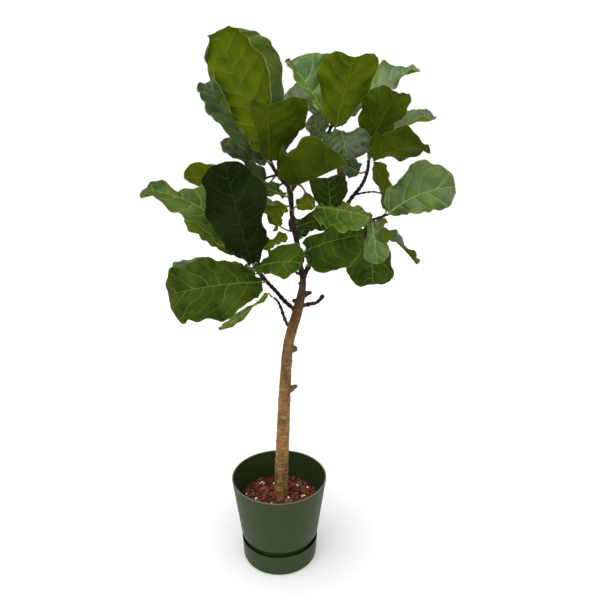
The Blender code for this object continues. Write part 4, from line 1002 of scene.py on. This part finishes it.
def make_wood():
    """Trunk and limbs as one skin, with bark rings and roughness pushed into the surface."""
    vertices, faces, samples = [], [], []
    for number, run in enumerate(wood_runs()):
        points, shape, path = limb_mesh(run, NODE_SWELLING if 0 < number < len(WOOD) else 0.0)
        offset = sum(len(item) for item in vertices)
        vertices.append(points)
        faces += [tuple(corner + offset for corner in face) for face in shape]
        paces = np.linalg.norm(np.diff(path[:, :3], axis=0), axis=1)
        for item, place in zip(path, np.concatenate([[0], np.cumsum(paces)])):
            samples.append((*item, number, place))
    rough = bpy.data.meshes.new("wood_tubes")
    rough.from_pydata(np.vstack(vertices).tolist(), [], faces)
    carrier = bpy.data.objects.new("wood_tubes", rough)
    bpy.context.collection.objects.link(carrier)
    skin = carrier.modifiers.new("skin", "REMESH")
    skin.mode = "VOXEL"
    skin.voxel_size = BARK_STEP
    soft = carrier.modifiers.new("soft", "SMOOTH")
    soft.factor = 0.5
    soft.iterations = 5
    evaluated = carrier.evaluated_get(bpy.context.evaluated_depsgraph_get())
    mesh = evaluated.to_mesh()
    points = np.empty(len(mesh.vertices) * 3, dtype=np.float32)
    normals = np.empty_like(points)
    mesh.vertices.foreach_get("co", points)
    mesh.vertices.foreach_get("normal", normals)
    points, normals = points.reshape(-1, 3).astype(float), normals.reshape(-1, 3).astype(float)
    shape = [tuple(polygon.vertices) for polygon in mesh.polygons]
    evaluated.to_mesh_clear()
    bpy.data.objects.remove(carrier, do_unlink=True)
    samples = np.array(samples)
    tree = kdtree.KDTree(len(samples))
    for number, sample in enumerate(samples):
        tree.insert(Vector(sample[:3]), number)
    tree.balance()
    nearest = np.array([tree.find(Vector(point))[1] for point in points])
    radius, run_number, place = samples[nearest, 3], samples[nearest, 4], samples[nearest, 5]
    trunk = samples[samples[:, 4] == 0]
    away = np.sqrt(((points[:, None, :] - trunk[None, :, :3]) ** 2).sum(axis=2)) / trunk[None, :, 3]
    beyond = np.clip((away.min(axis=1) - 1.12) / 0.45, 0, 1)
    young = np.clip((points[:, 2] - 0.755) / 0.11, 0, 1) * 0.8
    young = np.maximum(young, np.clip((points[:, 2] - 0.86) / 0.06, 0, 1))
    stub = (run_number >= len(WOOD)) & (points[:, 2] < 0.8)
    young = np.where(stub, young, np.maximum(young, np.where(run_number > 0, beyond, 0.0)))
    knot = np.where(stub, beyond, 0.0)
    spots = (Vector((x * 85, y * 85, z * 38)) for x, y, z in points)
    bark = np.array([noise.fractal(spot, 0.8, 2.1, 4) for spot in spots])
    warp = np.array([noise.noise(Vector((x * 30, y * 30, z * 12))) for x, y, z in points])
    rng = np.random.default_rng(31)
    ring = np.zeros(len(points))
    for spot in np.cumsum(rng.uniform(0.009, 0.030, 90)):
        side = rng.uniform(0, 2 * np.pi)
        facing = 0.35 + 0.65 * (normals[:, 0] * np.cos(side) + normals[:, 1] * np.sin(side) > -0.1)
        ring = np.maximum(ring, facing * np.exp(-(((place - spot + 0.005 * warp) / 0.0016) ** 2)))
    old = 1 - np.clip(young, 0, 1)
    rise = 0.0011 * bark * (0.55 + 0.45 * old) + ring * (0.0007 + 0.0003 * old)
    rise *= np.clip(radius / 0.008, 0.35, 1.0)
    points = points + normals * rise[:, None]
    attributes = {"bark_place": np.column_stack([young, ring, knot])}
    wood = add_mesh("bark_skin", points, shape, [bark_material()], None, attributes, 180)
    rides(wood, "bark", "trunk_and_branches")


# ---------------------------------------------------------------- studio


def make_studio():
    corners = [(x, y, z) for z in (0, -0.1) for x, y in ((-9, -9), (9, -9), (9, 9), (-9, 9))]
    faces = [(0, 1, 2, 3), (4, 7, 6, 5), (0, 4, 5, 1), (1, 5, 6, 2), (2, 6, 7, 3), (3, 7, 4, 0)]
    add_mesh("studio_floor", corners, faces, [floor_material()])
    world = bpy.data.worlds.new("studio")
    bpy.context.scene.world = world
    world.use_nodes = True
    tree = world.node_tree
    split = tree.nodes.new("ShaderNodeSeparateXYZ")
    dim = tree.nodes.new("ShaderNodeMapRange")
    dim.interpolation_type = "SMOOTHSTEP"
    limits = {"From Min": 0.22, "From Max": 0.50, "To Min": 1.02, "To Max": 0.30}
    for socket, value in limits.items():
        dim.inputs[socket].default_value = value
    tree.links.new(tree.nodes.new("ShaderNodeTexCoord").outputs["Generated"], split.inputs[0])
    tree.links.new(split.outputs[2], dim.inputs["Value"])
    tree.links.new(dim.outputs[0], tree.nodes["Background"].inputs["Strength"])
    tree.nodes["Background"].inputs["Color"].default_value = (1.0, 1.0, 1.0, 1.0)
    data = bpy.data.lights.new("studio_key", "SUN")
    data.energy = 3.3
    data.angle = math.radians(80)
    key = bpy.data.objects.new("studio_key", data)
    key.rotation_euler = Vector((0.18, 0.40, -1.5)).to_track_quat("-Z", "Y").to_euler()
    bpy.context.collection.objects.link(key)
    bpy.context.scene.view_settings.view_transform = "Standard"


def make_camera():
    data = bpy.data.cameras.new("studio_camera")
    data.lens = 34.2
    data.sensor_width = 36.0
    camera = bpy.data.objects.new("studio_camera", data)
    camera.location = (0.065, -1.560, 1.309)
    camera.rotation_euler = (math.radians(73.61), 0.0, 0.0)
    bpy.context.collection.objects.link(camera)
    bpy.context.scene.camera = camera


def main():
    make_camera()
    make_pot_and_saucer()
    make_soil()
    make_wood()
    uppers = {
        shine: leaf_material(
            "leaf_upper_" + shine, (0.008, 0.030, 0.001), (0.044, 0.088, 0.006), (0.20, 0.29, 0.06),
            0.42, -0.8, 0.42, Specular_IOR_Level=level,
        )
        for shine, level in (("matt", 0.04), ("satin", 0.16), ("glossy", 0.55))
    }
    # The under side's lighter yellow-green is partly its own colour, partly painted light that
    # shines through the blade from behind.
    under = leaf_material(
        "leaf_under", (0.034, 0.068, 0.001), (0.080, 0.130, 0.002), (0.17, 0.22, 0.04),
        0.30, 1.0, 0.6, Specular_IOR_Level=0.03,
    )
    stalk = stalk_material()
    for name, shape in LEAVES.items():
        leaf_piece(name, shape, [uppers[shape["shine"]], under, stalk])
    make_studio()


main()
